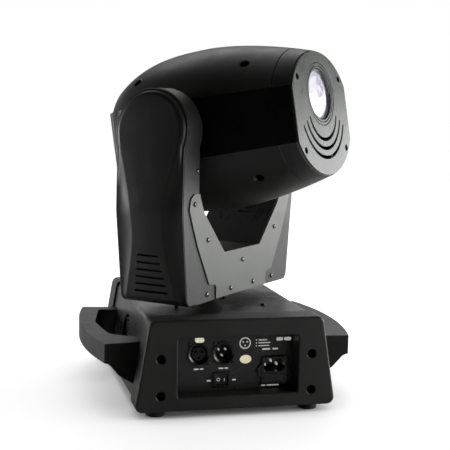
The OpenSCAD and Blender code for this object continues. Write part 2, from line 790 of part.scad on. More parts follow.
pan_motor_x = 58;
tilt_motor_z = 182;
motor_half = 21;
belt_t = 1.5;
belt_gap = 0.35;

// A stepper motor body with its shaft side at z = 0, cut-off corners and a boss
module motor(length) {
    linear_extrude(length) polygon(rounded([[-motor_half, -motor_half], [motor_half, -motor_half],
        [motor_half, motor_half], [-motor_half, motor_half]], [4, 4, 4, 4], 1));
    translate([0, 0, -2]) cylinder(h = 3, r = 11);
}

module pan_motor() in_yoke() color([0.15, 0.15, 0.15])
    difference() {
        union() {
            translate([pan_motor_x, 0, 135]) motor(33);
            block(32, 84, gap + arm_wall - arm_half_d, arm_half_d - arm_wall - gap, 133.2, 135);
        }
        rod_z(pan_motor_x, 0, 120, 150, 2.5 + running_gap);
    }

module pan_motor_pulley() in_yoke() color([0.8, 0.8, 0.8])
    union() {
        rod_z(pan_motor_x, 0, 124, 131, pan_pinion_r);
        rod_z(pan_motor_x, 0, 123, 148, 2.5);
    }

// A closed belt lying in the XY plane, from z0 to z1
module belt(r1, r2, d, z0, z1) translate([0, 0, z0]) linear_extrude(z1 - z0) difference() {
    polygon(belt_line(r1 + belt_gap + belt_t, r2 + belt_gap + belt_t, d));
    polygon(belt_line(r1 + belt_gap, r2 + belt_gap, d));
}

module pan_belt() in_yoke() color([0.06, 0.06, 0.06])
    belt(pan_pulley_r, pan_pinion_r, pan_motor_x, 124.8, 130.2);

tilt_belt_x0 = arm_inner_x + 6;
tilt_belt_x1 = arm_inner_x + 12;

// Everything of the tilt drive sits in the near arm, drawn here on the +X side
module tilt_motor() in_yoke() mirror([1, 0, 0]) color([0.15, 0.15, 0.15])
    difference() {
        union() {
            translate([tilt_belt_x1 + 4, 0, tilt_motor_z]) rotate([0, 90, 0]) motor(14.5);
            block(tilt_belt_x1 + 1.5, tilt_belt_x1 + 3, gap + arm_wall - arm_half_d,
                arm_half_d - arm_wall - gap, tilt_motor_z - 30, tilt_motor_z + 30);
        }
        rod_x(0, tilt_motor_z, tilt_belt_x1 - 4, tilt_belt_x1 + 16, 2.5 + running_gap);
    }

module tilt_motor_pulley() in_yoke() mirror([1, 0, 0]) color([0.8, 0.8, 0.8])
    union() {
        rod_x(0, tilt_motor_z, tilt_belt_x0, tilt_belt_x1, tilt_pinion_r);
        rod_x(0, tilt_motor_z, tilt_belt_x0 - 1, tilt_belt_x1 + 14, 2.5);
    }

module tilt_belt() in_yoke() mirror([1, 0, 0]) color([0.06, 0.06, 0.06])
    translate([0, 0, tilt_z]) rotate([0, 90, 0])
        belt(tilt_pulley_r, tilt_pinion_r, tilt_z - tilt_motor_z, tilt_belt_x0 + 0.5, tilt_belt_x1 - 0.5);

// ---------- head ----------

seam_l = face_l - 20;
shell_back_l = -101;
panel_taper = 0.0226;

// Half the height of the side panels, which are taller towards the back of the head
function panel_half(l) = side_panel_h / 2 - panel_taper * l;

// The head's radius at a place along the optical axis. It is fullest near the tilt axis, and
// falls off more steeply to the back
head_max_r = 96.2;
head_max_l = 15;
front_fall = 21.7;
rear_fall = 27.6;
function head_r(l) =
    l > head_max_l
        ? head_max_r - front_fall * pow((l - head_max_l) / (face_l - head_max_l), 1.8)
        : head_max_r - rear_fall * pow((head_max_l - l) / (head_max_l - shell_back_l), 2.95);

// Distance from the optical axis to the flat side of the head
function head_flat(l) = sqrt(pow(head_r(l), 2) - pow(panel_half(l), 2));

// A turned body between two places along the optical axis, moved inwards by an inset
module barrel(l0, l1, inset, steps = 10) rotate_extrude($fn = 90)
    polygon(concat(
        [[0, l0]],
        [for (i = [0 : steps]) let (l = l0 + (l1 - l0) * i / steps) [head_r(l) - inset, l]],
        [[0, l1]]
    ));

// The head's plan, in X and Z, between its two flat sides
module flat_sides(l0, l1, inset, steps = 10)
    rotate([90, 0, 0]) translate([0, 0, -120]) linear_extrude(240)
        polygon(both_sides([for (i = [0 : steps])
            let (l = l0 + (l1 - l0) * i / steps) [head_flat(l) - inset, l]]));

module head_solid(l0, l1, inset) intersection() {
    barrel(l0, l1, inset);
    flat_sides(l0, l1, inset);
}

// The tapering band between the two covers, across the whole head
module panel_band(l0, l1, inset)
    rotate([90, 0, 90]) translate([0, 0, -120]) linear_extrude(240)
        polygon([
            [inset - panel_half(l0), l0],
            [panel_half(l0) - inset, l0],
            [panel_half(l1) - inset, l1],
            [inset - panel_half(l1), l1]
        ]);

trunnion_r = 12;
cover_screw_angle = 42.5;
cover_screw_ls = [86.3, -57];
cover_recess = 5;

// Places something at each screw of a head cover, with Z pointing out through the cover
module at_cover_screws()
    for (side = [-1, 1], l = cover_screw_ls)
        rotate([0, 0, side * cover_screw_angle]) translate([0, head_r(l), l]) rotate([-90, 0, 0]) children();

// A hollow cover with its screw recesses, above the side panels
module head_cover() difference() {
    union() {
        difference() {
            head_solid(shell_back_l, seam_l - gap, 0);
            head_solid(shell_back_l + shell_wall, seam_l + 1, shell_wall);
            panel_band(shell_back_l - 1, seam_l + 1, -gap);
            translate([-120, -120, -150]) cube([240, 121, 400]);
        }
        at_cover_screws() translate([0, 0, -10]) cylinder(h = 8.5, r = 7);
    }
    at_cover_screws() {
        translate([0, 0, -cover_recess]) cylinder(h = 12, r = 4.5);
        translate([0, 0, -12]) cylinder(h = 12, r = 2);
    }
}

module head_top_cover() in_head() color([0.2, 0.2, 0.2]) head_cover();
module head_bottom_cover() in_head() color([0.2, 0.2, 0.2]) mirror([0, 1, 0]) head_cover();

panel_drop = 0.6;

module head_side_panels() in_head() color([0.1, 0.1, 0.1])
    difference() {
        intersection() {
            head_solid(shell_back_l, seam_l - gap, panel_drop);
            panel_band(shell_back_l, seam_l - gap, 0);
        }
        head_solid(shell_back_l - 1, seam_l + 1, panel_drop + shell_wall);
        translate([0, head_drop, 0]) rotate([0, 90, 0]) cylinder(h = 240, r = trunnion_r + 1, center = true);
    }

face_r = 76;
face_half_w = 73;
face_half_h = 71.5;

// The face's outline: a circle cut flat at its top, bottom and sides
module face_outline() intersection() {
    circle(r = face_r, $fn = 90);
    square([2 * face_half_w, 2 * face_half_h], center = true);
}

module front_bezel() in_head() color([0.2, 0.2, 0.2])
    difference() {
        head_solid(seam_l, face_l - 1, 0);
        head_solid(seam_l - 1, face_l, shell_wall);
    }

lens_y = 22;
lens_r = 27;
ring_r = 36;
face_screws = [[-56.2, 40.3], [56.2, 40.3], [-56.2, -41], [56.2, -41]];

slot_w = 2.6;
slot_centre_y = 8;
// Radius of each slot under the lens, and half of the angle that it spans
slots = [[38, 71], [48.2, 69], [58.5, 67]];

// A curved slot under the lens: part of a ring
module face_slot(r, half_angle)
    translate([0, slot_centre_y, face_l]) rotate([0, 0, -90 - half_angle])
        rotate_extrude(angle = 2 * half_angle, $fn = 90)
            translate([r - slot_w / 2, -10]) square([slot_w, 20]);

module face_plate() in_head() color([0.6, 0.62, 0.6])
    difference() {
        translate([0, 0, face_l - 1 + gap]) linear_extrude(3 - gap) face_outline();
        translate([0, lens_y, face_l - 5]) cylinder(h = 10, r = ring_r);
        for (p = face_screws) translate([p.x, p.y, face_l - 5]) cylinder(h = 10, r = 2.4);
        for (slot = slots) face_slot(slot[0], slot[1]);
    }

module lens_ring() in_head() color([0.5, 0.52, 0.5])
    difference() {
        translate([0, lens_y, face_l - 6]) cylinder(h = 7.5, r = ring_r - 0.3);
        translate([0, lens_y, face_l - 7]) cylinder(h = 10, r = lens_r - 1);
        translate([0, lens_y, face_l - 4]) cylinder(h = 10, r = lens_r + 0.2);
    }

module front_lens() in_head() color([0.85, 0.85, 0.95, 0.5])
    translate([0, lens_y, face_l - 3.8]) rotate_extrude($fn = 90)
        polygon([[0, 0], [lens_r, 0], [lens_r, 2.5], [23, 4.6], [17, 6.6], [10, 8.2], [0, 9]]);

rear_half_w = head_flat(shell_back_l) - panel_drop;
rear_corner_w = rear_half_w - 8;
rear_corner_l = 2 - tail_l;
vent_w = 4;

// The rear cap's plan in X and Z: a shallow box with sloping corners and a slightly swollen back
module rear_plan(inset)
    polygon(both_sides([
        [rear_half_w - inset, shell_back_l - gap],
        [rear_half_w - inset - 1, shell_back_l - 3],
        [rear_corner_w - inset / 2, rear_corner_l + inset],
        [rear_corner_w - 8, inset + 0.7 - tail_l],
        [0, inset - tail_l]
    ]));

module rear_block(inset) intersection() {
    rotate([90, 0, 0]) translate([0, 0, -120]) linear_extrude(240) rear_plan(inset);
    panel_band(-tail_l - 1, shell_back_l + 1, inset);
}

// The rear cap: closes the head behind the side panels, with ring-shaped vents for the fan
module rear_cap() in_head() color([0.2, 0.2, 0.2])
    difference() {
        rear_block(0);
        rear_block(shell_wall);
        block_h(shell_wall - rear_half_w + 1, rear_half_w - shell_wall - 1, shell_wall - panel_half(0),
            panel_half(0) - shell_wall, shell_back_l - 4, shell_back_l + 2);
        for (r = [10 : 7 : 31]) translate([0, 0, -tail_l - 1]) difference() {
            cylinder(h = 8, r = r + vent_w - 1);
            translate([0, 0, -1]) cylinder(h = 10, r = r);
            for (a = [0, 60, 120]) rotate([0, 0, a]) translate([0, 0, 4]) cube([80, 5, 10], center = true);
        }
    }

module head_screws() in_head() color([0.15, 0.15, 0.15]) {
    for (p = face_screws) translate([p.x, p.y, face_l - 8]) cylinder(h = 9, r = 2.2);
    for (flip = [0, 1]) mirror([0, flip, 0]) at_cover_screws() {
        translate([0, 0, gap / 4 - cover_recess]) cylinder(h = 2, r = 3.8);
        translate([0, 0, -14]) cylinder(h = 10, r = 1.8);
    }
}

rod_half_x = 46;
rod_r = 2.5;

// The head's inner frame: side rails, bulkheads, the focus rods and the trunnions it turns on
module head_chassis() in_head() color([0.65, 0.66, 0.67])
    difference() {
        union() {
            mirrored_x() block_h(64, 68, -20, 20, -70, seam_l - 6);
            block_h(-66, 66, -44, 44, -34, -31);
            block_h(-66, 66, -16, 49, 100, 103);
            mirrored_x() translate([rod_half_x, lens_y, -32]) cylinder(h = 134, r = rod_r);
            mirrored_x() translate([66, head_drop, 0]) rotate([0, 90, 0])
                cylinder(h = tilt_belt_x1 + 1 - 66, r = trunnion_r);
            mirrored_x() translate([66, head_drop, 0]) rotate([0, 90, 0]) cylinder(h = 12, r = 20);
        }
        mirrored_x() translate([60, head_drop, 0]) rotate([0, 90, 0]) cylinder(h = 80, r = 7);
        translate([0, lens_y, -40]) cylinder(h = 12, r = 21);
        translate([0, lens_y, 95]) cylinder(h = 12, r = 25);
    }

// A block in the head's directions
module block_h(x0, x1, y0, y1, l0, l1) translate([x0, y0, l0]) cube([x1 - x0, y1 - y0, l1 - l0]);

module tilt_pulley() in_yoke() mirror([1, 0, 0]) color([0.75, 0.75, 0.77])
    difference() {
        rod_x(0, tilt_z, tilt_belt_x0, tilt_belt_x1, tilt_pulley_r);
        rod_x(0, tilt_z, tilt_belt_x0 - 1, tilt_belt_x1 + 1, trunnion_r + running_gap);
    }

// Light source: a finned heat sink with the LED and its collimator in front
module led_engine() in_head() color([0.7, 0.7, 0.72])
    union() {
        block_h(-40, 40, -40, 40, -46, -38);
        for (x = [-38 : 7 : 39]) block_h(x - 1, x + 1, -40, 40, -76, -45);
        translate([0, lens_y, -39]) cylinder(h = 21, r = 20);
        translate([0, lens_y, -20]) cylinder(h = 22, r1 = 12, r2 = 19);
    }

module head_fan_rotor() in_head() color([0.12, 0.12, 0.12])
    translate([0, 0, -82]) rotate([0, 90, 0]) fan_rotor(14, 36, 10, 7);

// A wheel of filters on the optical axis, turning about its own centre below it
wheel_y = -18;

module filter_wheel(l, holes, hole_r, ring) difference() {
    translate([0, wheel_y, l]) cylinder(h = 1.5, r = 56);
    translate([0, wheel_y, l - 1]) cylinder(h = 4, r = 3);
    for (i = [0 : holes - 1]) translate([0, wheel_y, l - 1]) rotate([0, 0, 90 + 360 / holes * i])
        translate([ring, 0, 0]) cylinder(h = 4, r = hole_r);
}

module colour_wheel() in_head() color([0.8, 0.8, 0.8]) filter_wheel(10, 9, 11, lens_y - wheel_y);
module gobo_wheel() in_head() color([0.8, 0.8, 0.8]) filter_wheel(20, 7, 12, lens_y - wheel_y);

// The focusing lens in its carriage
module focus_carriage() in_head() color([0.3, 0.3, 0.32])
    difference() {
        union() {
            translate([0, lens_y, 70]) cylinder(h = 10, r = 30);
            block_h(-51, 51, lens_y - 5, lens_y + 5, 72, 78);
        }
        translate([0, lens_y, 65]) cylinder(h = 20, r = 24);
        mirrored_x() translate([rod_half_x, lens_y, 65]) cylinder(h = 20, r = rod_r + running_gap);
    }

base_plate();
rubber_feet();
front_end_cap();
rear_end_cap();
base_screws();
top_cover_left();
top_cover_right();
connector_panel();
dmx_out_socket();
dmx_out_latch();
dmx_in_socket();
power_inlet();
fuse_drawer();
switch_housing();
switch_rocker();
display_window();
menu_button_back();
menu_button_down();
menu_button_up();
menu_button_enter();
handle_left();
handle_right();
base_fan_frame();
base_fan_rotor();
power_supply();
control_board();
pan_bridge();
pan_column();
yoke_base();
bearings();
arm_frame_near();
arm_frame_far();
arm_cover_near();
arm_cover_far();
yoke_plate_front();
yoke_plate_rear();
yoke_screws();
yoke_liner();
pan_motor();
pan_motor_pulley();
pan_belt();
tilt_motor();
tilt_motor_pulley();
tilt_belt();
head_top_cover();
head_bottom_cover();
head_side_panels();
front_bezel();
face_plate();
lens_ring();
front_lens();
rear_cap();
head_screws();
head_chassis();
tilt_pulley();
led_engine();
head_fan_rotor();
colour_wheel();
gobo_wheel();
focus_carriage();
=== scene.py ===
"""The looks of a moving head spot light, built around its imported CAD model.

Metres, +Z up, connector end facing -Y. Shapes are drawn in millimetres in one of three frames
(base, yoke and head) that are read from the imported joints, then placed in the row frame.
"""

import json
import math

import bmesh
import bpy
from mathutils import Matrix, Vector


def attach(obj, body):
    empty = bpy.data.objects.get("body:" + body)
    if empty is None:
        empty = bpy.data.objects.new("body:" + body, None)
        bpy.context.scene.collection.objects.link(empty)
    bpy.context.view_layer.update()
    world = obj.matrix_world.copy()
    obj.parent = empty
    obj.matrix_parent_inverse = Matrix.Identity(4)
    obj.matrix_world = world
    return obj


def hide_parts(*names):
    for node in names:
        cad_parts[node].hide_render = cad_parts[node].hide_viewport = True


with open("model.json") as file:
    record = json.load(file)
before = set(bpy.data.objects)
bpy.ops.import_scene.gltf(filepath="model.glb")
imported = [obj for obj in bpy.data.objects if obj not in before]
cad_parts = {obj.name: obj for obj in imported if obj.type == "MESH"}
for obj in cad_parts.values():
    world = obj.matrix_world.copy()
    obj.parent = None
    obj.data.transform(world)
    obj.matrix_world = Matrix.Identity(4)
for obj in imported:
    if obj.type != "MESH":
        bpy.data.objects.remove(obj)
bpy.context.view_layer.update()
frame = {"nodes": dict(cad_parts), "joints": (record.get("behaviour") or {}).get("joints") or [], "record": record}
joints = {j["name"]: j for j in frame["joints"]}

MM = 0.001

# ---------- the three frames that shapes are drawn in ----------

UP = Vector((0, 0, 1))
SIDE = Vector(joints["tilt"]["axis"]).normalized()
AXIS = Vector(joints["focus_slide"]["axis"]).normalized()
HEAD_UP = AXIS.cross(SIDE)
TILT = Vector(joints["tilt"]["pos_m"])
HEAD_DROP = 2.0


def frame_matrix(x, y, z, origin):
    """Takes millimetres along the given directions to metres in the row frame."""
    turn = Matrix((x, y, z)).transposed().to_4x4()
    return Matrix.Translation(origin) @ turn @ Matrix.Scale(MM, 4)


BASE = frame_matrix(Vector((1, 0, 0)), Vector((0, 1, 0)), UP, Vector((0, 0, 0)))
YOKE = frame_matrix(SIDE, UP.cross(SIDE), UP, Vector((0, 0, 0)))
HEAD = frame_matrix(SIDE, HEAD_UP, AXIS, TILT - HEAD_UP * HEAD_DROP * MM)
MIRROR_X = Matrix.Scale(-1, 4, Vector((1, 0, 0)))
MIRROR_Y = Matrix.Scale(-1, 4, Vector((0, 1, 0)))


# ---------- outlines ----------


def lerp(a, b, t):
    return a + (b - a) * t


def smooth(t):
    t = min(1.0, max(0.0, t))
    return t * t * (3 - 2 * t)


def rounded(points, radii, steps=6):
    """An outline with each corner rounded by its own radius, or left sharp where that is 0."""
    out = []
    count = len(points)
    for i, r in enumerate(radii):
        b = Vector(points[i])
        if r == 0:
            out.append(tuple(b))
            continue
        u = (Vector(points[i - 1]) - b).normalized()
        v = (Vector(points[(i + 1) % count]) - b).normalized()
        half = u.angle(v) / 2
        centre = b + (u + v).normalized() * (r / math.sin(half))
        first = b + u * (r / math.tan(half)) - centre
        last = b + v * (r / math.tan(half)) - centre
        start = math.atan2(first.y, first.x)
        turn = (math.atan2(last.y, last.x) - start + 3 * math.pi) % (2 * math.pi) - math.pi
        for k in range(steps + 1):
            a = start + turn * k / steps
            out.append((centre.x + r * math.cos(a), centre.y + r * math.sin(a)))
    return out


def box_line(x0, x1, y0, y1, r, steps=6):
    return rounded([(x0, y0), (x1, y0), (x1, y1), (x0, y1)], [r] * 4, steps)


def arc(centre, r, a0, a1, steps):
    """Points of an arc between two angles in degrees."""
    turns = [math.radians(lerp(a0, a1, i / steps)) for i in range(steps + 1)]
    return [(centre[0] + r * math.cos(a), centre[1] + r * math.sin(a)) for a in turns]


# ---------- meshes ----------


def make(name, verts, faces, place):
    """A mesh object from points in millimetres in one of the three frames."""
    mesh = bpy.data.meshes.new(name)
    mesh.from_pydata([place @ Vector(v) for v in verts], [], faces)
    bm = bmesh.new()
    bm.from_mesh(mesh)
    bmesh.ops.remove_doubles(bm, verts=bm.verts, dist=2e-6)
    bmesh.ops.recalc_face_normals(bm, faces=bm.faces)
    bm.to_mesh(mesh)
    bm.free()
    piece = bpy.data.objects.new(name, mesh)
    bpy.context.scene.collection.objects.link(piece)
    return piece


def tube(rings, closed=True, caps=True):
    """Points and faces of a skin over rings that have equally many points."""
    n = len(rings[0])
    verts = [p for ring in rings for p in ring]
    last = n if closed else n - 1
    faces = []
    for i in range(len(rings) - 1):
        for j in range(last):
            k = (j + 1) % n
            faces.append((i * n + j, i * n + k, (i + 1) * n + k, (i + 1) * n + j))
    if caps:
        faces.append(tuple(range(n))[::-1])
        faces.append(tuple(range((len(rings) - 1) * n, len(rings) * n)))
    return verts, faces


def lift(outline, plane, depth):
    """2D points as 3D points on a plane across the named axis."""
    if plane == "x":
        return [(depth, a, b) for a, b in outline]
    if plane == "y":
        return [(a, depth, b) for a, b in outline]
    return [(a, b, depth) for a, b in outline]


def prism(name, outline, plane, d0, d1, place, edge=0.0, segments=3):
    """An outline pulled along an axis, with its two rims rounded."""
    verts, faces = tube([lift(outline, plane, d0), lift(outline, plane, d1)])
    piece = make(name, verts, faces, place)
    if edge:
        round_rims(piece, edge, segments)
    return piece


def lathe(name, profile, place, steps=96):
    """A turned body about the frame's Z axis. The profile is a closed line of (radius, z)."""
    rings = []
    for i in range(steps):
        a = 2 * math.pi * i / steps
        rings.append([(r * math.cos(a), r * math.sin(a), z) for r, z in profile])
    rings.append(rings[0])
    verts, faces = tube(rings, closed=True, caps=False)
    return make(name, verts, faces, place)


def edit(piece, change):
    bm = bmesh.new()
    bm.from_mesh(piece.data)
    change(bm)
    bm.to_mesh(piece.data)
    bm.free()
    piece.data.update()
    return piece


def bevel(bm, edges, width, segments):
    bmesh.ops.bevel(bm, geom=edges, offset=width * MM, offset_type="OFFSET", segments=segments,
                    profile=0.5, affect="EDGES", clamp_overlap=True)


def round_rims(piece, width, segments=3):
    """Rounds the edges of every face that has more than four corners."""
    def change(bm):
        rims = {e for f in bm.faces if len(f.verts) > 4 for e in f.edges}
        bevel(bm, list(rims), width, segments)
    return edit(piece, change)


def round_sharp(piece, width, segments=2, angle=30.0):
    """Rounds the edges where two faces meet at more than an angle."""
    limit = math.radians(angle)

    def change(bm):
        sharp = [e for e in bm.edges if e.is_manifold and e.calc_face_angle(0) > limit]
        bevel(bm, sharp, width, segments)
    return edit(piece, change)


def boolean(piece, other, operation):
    modifier = piece.modifiers.new("cut", "BOOLEAN")
    modifier.operation = operation
    modifier.solver = "MANIFOLD"
    modifier.object = other
    bake(piece)
    bpy.data.objects.remove(other)
    return piece


def bake(piece):
    """Applies a piece's modifiers."""
    graph = bpy.context.evaluated_depsgraph_get()
    mesh = bpy.data.meshes.new_from_object(piece.evaluated_get(graph))
    old = piece.data
    piece.modifiers.clear()
    piece.data = mesh
    bpy.data.meshes.remove(old)


def cut(piece, other):
    return boolean(piece, other, "DIFFERENCE")


def keep_common(piece, other):
    return boolean(piece, other, "INTERSECT")


def join(piece, *others):
    """Several separate solids as one piece."""
    bm = bmesh.new()
    for o in (piece,) + others:
        bm.from_mesh(o.data)
    bm.to_mesh(piece.data)
    bm.free()
    for o in others:
        bpy.data.objects.remove(o)
    return piece


def merge_flat(piece, angle=0.4):
    """Joins the triangles of each flat face into one face."""
    def change(bm):
        bmesh.ops.remove_doubles(bm, verts=bm.verts, dist=2e-6)
        bmesh.ops.dissolve_limit(bm, angle_limit=math.radians(angle), verts=bm.verts, edges=bm.edges,
                                 use_dissolve_boundaries=False)
    return edit(piece, change)


def shade(piece, angle=35.0):
    """Smooth shading that breaks at sharp edges, and doesn't bend over flat faces."""
    for f in piece.data.polygons:
        f.use_smooth = True
    piece.data.set_sharp_from_angle(angle=math.radians(angle))
    modifier = piece.modifiers.new("normals", "WEIGHTED_NORMAL")
    modifier.keep_sharp = True
    bake(piece)
    return piece


def body_of(node):
    return next(b for b, nodes in frame["record"]["behaviour"]["bodies"].items() if node in nodes)


def slot_of(node):
    return next(s["material_slot"] for s in frame["record"]["subparts"] if s["node"] == node)


def stand_for(piece, node, paint, angle=35.0):
    """The piece takes the place of a CAD node: same body, with its material, and the node is hidden."""
    shade(piece, angle)
    piece.data.materials.clear()
    piece.data.materials.append(paint)
    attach(piece, body_of(node))
    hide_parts(node)
    return piece


def ride_on(piece, node, paint):
    """A small extra piece that moves with a CAD node's body."""
    shade(piece)
    piece.data.materials.clear()
    piece.data.materials.append(paint)
    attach(piece, body_of(node))
    return piece


def from_cad(node, name):
    """A copy of a CAD node's mesh, to be refined."""
    mesh = frame["nodes"][node].data.copy()
    mesh.materials.clear()
    piece = bpy.data.objects.new(name, mesh)
    bpy.context.scene.collection.objects.link(piece)
    return merge_flat(piece)


# ---------- materials ----------


class Surface:
    """One procedural material: a principled surface, with shortcuts for the nodes it uses."""

    def __init__(self, name):
        self.material = bpy.data.materials.new(name)
        self.material.use_nodes = True
        self.tree = self.material.node_tree
        self.shader = self.tree.nodes["Principled BSDF"]
        self.place = self.node("ShaderNodeTexCoord").outputs["Object"]

    def node(self, kind, **settings):
        made = self.tree.nodes.new(kind)
        for key, value in settings.items():
            setattr(made, key, value)
        return made

    def wire(self, value, socket):
        """Sets a socket to a plain value, or links it to another socket."""
        if isinstance(value, bpy.types.NodeSocket):
            self.tree.links.new(value, socket)
        elif isinstance(value, tuple) and len(value) == 3 and socket.type == "RGBA":
            socket.default_value = value + (1.0,)
        else:
            socket.default_value = value

    def set(self, **inputs):
        for key, value in inputs.items():
            self.wire(value, self.shader.inputs[key.replace("_", " ")])

    def math(self, operation, a, b=0.0):
        made = self.node("ShaderNodeMath", operation=operation, use_clamp=False)
        self.wire(a, made.inputs[0])
        self.wire(b, made.inputs[1])
        return made.outputs[0]

    def spread(self, value, low, high, out_low, out_high):
        """Maps a value from one range to another, clamped."""
        made = self.node("ShaderNodeMapRange")
        for i, v in enumerate((value, low, high, out_low, out_high)):
            self.wire(v, made.inputs[i])
        return made.outputs[0]

    def mix(self, share, a, b):
        made = self.node("ShaderNodeMix", data_type="RGBA")
        self.wire(share, made.inputs[0])
        self.wire(a, made.inputs[6])
        self.wire(b, made.inputs[7])
        return made.outputs[2]

    def noise(self, size_mm, detail=3.0, stretch=(1, 1, 1)):
        """Noise whose blobs are about this size, drawn out along an axis where stretch is below 1."""
        grid = self.node("ShaderNodeMapping")
        self.wire(self.place, grid.inputs["Vector"])
        grid.inputs["Scale"].default_value = stretch
        made = self.node("ShaderNodeTexNoise")
        self.wire(grid.outputs[0], made.inputs["Vector"])
        made.inputs["Scale"].default_value = 1.0 / (size_mm * MM)
        made.inputs["Detail"].default_value = detail
        return made.outputs["Fac"]

    def cells(self, size_mm):
        made = self.node("ShaderNodeTexVoronoi", feature="SMOOTH_F1")
        self.wire(self.place, made.inputs["Vector"])
        made.inputs["Scale"].default_value = 1.0 / (size_mm * MM)
        return made.outputs["Distance"]

    def bump(self, height, depth_mm, normal=None):
        made = self.node("ShaderNodeBump")
        made.inputs["Distance"].default_value = depth_mm * MM
        self.wire(height, made.inputs["Height"])
        if normal is not None:
            self.wire(normal, made.inputs["Normal"])
        self.wire(made.outputs[0], self.shader.inputs["Normal"])
        return made.outputs[0]

    def edges(self, radius_mm):
        """0 on open faces, rising to 1 along outer edges and corners."""
        soft = self.node("ShaderNodeBevel", samples=4)
        soft.inputs["Radius"].default_value = radius_mm * MM
        hard = self.node("ShaderNodeNewGeometry")
        dot = self.node("ShaderNodeVectorMath", operation="DOT_PRODUCT")
        self.wire(soft.outputs[0], dot.inputs[0])
        self.wire(hard.outputs["Normal"], dot.inputs[1])
        return self.spread(dot.outputs["Value"], 0.99, 0.8, 0.0, 1.0)

    def facing_up(self):
        """1 on faces that look up, where dust settles."""
        hard = self.node("ShaderNodeNewGeometry")
        parts = self.node("ShaderNodeSeparateXYZ")
        self.wire(hard.outputs["Normal"], parts.inputs[0])
        return self.spread(parts.outputs["Z"], 0.3, 1.0, 0.0, 1.0)


def shades(colour, spread):
    """A darker and a lighter shade of a colour."""
    return tuple(c * (1 - spread) for c in colour), tuple(c * (1 + spread) for c in colour)


def finish_surface(s, colour, rough, mottle, wear_colour, wear, dust):
    """Colour and roughness that vary over the surface, edge wear, and dust on top."""
    patches = s.noise(45, 4)
    fine = s.noise(3, 3)
    dark, light = shades(colour, mottle)
    tint = s.mix(s.spread(patches, 0.35, 0.65, 0.0, 1.0), dark, light)
    rubbed = s.math("MULTIPLY", s.edges(1.2), s.spread(fine, 0.35, 0.7, 0.15, 1.0))
    tint = s.mix(s.math("MULTIPLY", rubbed, wear), tint, wear_colour)
    settled = s.math("MULTIPLY", s.facing_up(), s.spread(s.noise(14, 5), 0.4, 0.75, 0.0, dust))
    tint = s.mix(settled, tint, (0.42, 0.41, 0.38))
    s.set(Base_Color=tint)
    uneven = s.spread(s.noise(22, 5), 0.3, 0.7, rough - 0.05, rough + 0.06)
    s.set(Roughness=s.math("ADD", uneven, s.math("MULTIPLY", settled, 0.3)))


def moulded(name, colour, rough, grain_mm=0.7, depth_mm=0.05, wear=0.25, dust=0.06):
    """Moulded plastic: a fine pebbled texture over a faint large ripple."""
    s = Surface(name)
    finish_surface(s, colour, rough, 0.12, tuple(c * 2.2 + 0.02 for c in colour), wear, dust)
    ripple = s.bump(s.noise(30, 2), 0.12)
    pebble = s.bump(s.cells(grain_mm), depth_mm, ripple)
    s.bump(s.noise(0.4, 2), depth_mm * 0.4, pebble)
    return s.material


def coated(name, colour, rough, depth_mm=0.03, wear=0.3, dust=0.06):
    """Powder coat or satin paint on sheet metal: a fine orange peel."""
    s = Surface(name)
    finish_surface(s, colour, rough, 0.08, (0.35, 0.35, 0.34), wear, dust)
    waves = s.bump(s.noise(60, 1), 0.15)
    s.bump(s.noise(1.1, 2), depth_mm, waves)
    s.set(Coat_Weight=0.15, Coat_Roughness=rough * 0.7)
    return s.material


def metal(name, colour, rough, stretch=(1, 1, 1), streak_mm=0.8, glow=0.0):
    """Bare metal with fine streaks along the axis where stretch is small. A glow above 0 gives it a painted glow, which
    stands in for highlights.
    """
    s = Surface(name)
    s.set(Emission_Color=colour + (1.0,), Emission_Strength=glow)
    streaks = s.noise(streak_mm, 4, stretch)
    dark, light = shades(colour, 0.12)
    s.set(Metallic=1.0, Base_Color=s.mix(streaks, dark, light))
    s.set(Roughness=s.spread(streaks, 0.3, 0.7, rough * 0.75, rough * 1.3))
    s.bump(streaks, 0.02)
    return s.material


def rubber(name, colour=(0.02, 0.02, 0.02)):
    s = Surface(name)
    dark, light = shades(colour, 0.3)
    s.set(Base_Color=s.mix(s.noise(4, 4), dark, light), Roughness=s.spread(s.noise(2, 3), 0.3, 0.7, 0.6, 0.85))
    s.bump(s.noise(0.6, 3), 0.06)
    return s.material


def gloss(name, colour, rough=0.18, coat=0.5):
    """Smooth moulded plastic with faint scuffs."""
    s = Surface(name)
    dark, light = shades(colour, 0.1)
    scuffs = s.noise(1.2, 5, (1, 0.15, 1))
    s.set(Base_Color=s.mix(s.noise(9, 4), dark, light))
    s.set(Roughness=s.spread(scuffs, 0.45, 0.75, rough, rough + 0.2), Coat_Weight=coat, Coat_Roughness=0.08)
    s.bump(s.noise(5, 3), 0.02)
    return s.material


def printed(name, colour=(0.75, 0.75, 0.73), glow=0.3):
    """Bright printed marks, slightly broken up, with a little light of their own."""
    s = Surface(name)
    # The emission is a painted glow that stands in for highlights; the label and the latch tab use it too.
    s.set(Emission_Color=colour + (1.0,), Emission_Strength=glow)
    dark, light = shades(colour, 0.12)
    s.set(Base_Color=s.mix(s.noise(0.5, 3), dark, light), Roughness=s.spread(s.noise(0.7, 2), 0.3, 0.7, 0.45, 0.6))
    s.bump(s.noise(0.5, 2), 0.01)
    return s.material


def circuit(name):
    """Green solder mask with copper tracks."""
    s = Surface(name)
    tracks = s.spread(s.noise(2.5, 1, (1, 1, 0.2)), 0.48, 0.52, 0.0, 1.0)
    s.set(Base_Color=s.mix(tracks, (0.015, 0.12, 0.05), (0.04, 0.22, 0.1)), Roughness=s.spread(tracks, 0, 1, 0.3, 0.4))
    s.bump(tracks, 0.03)
    return s.material


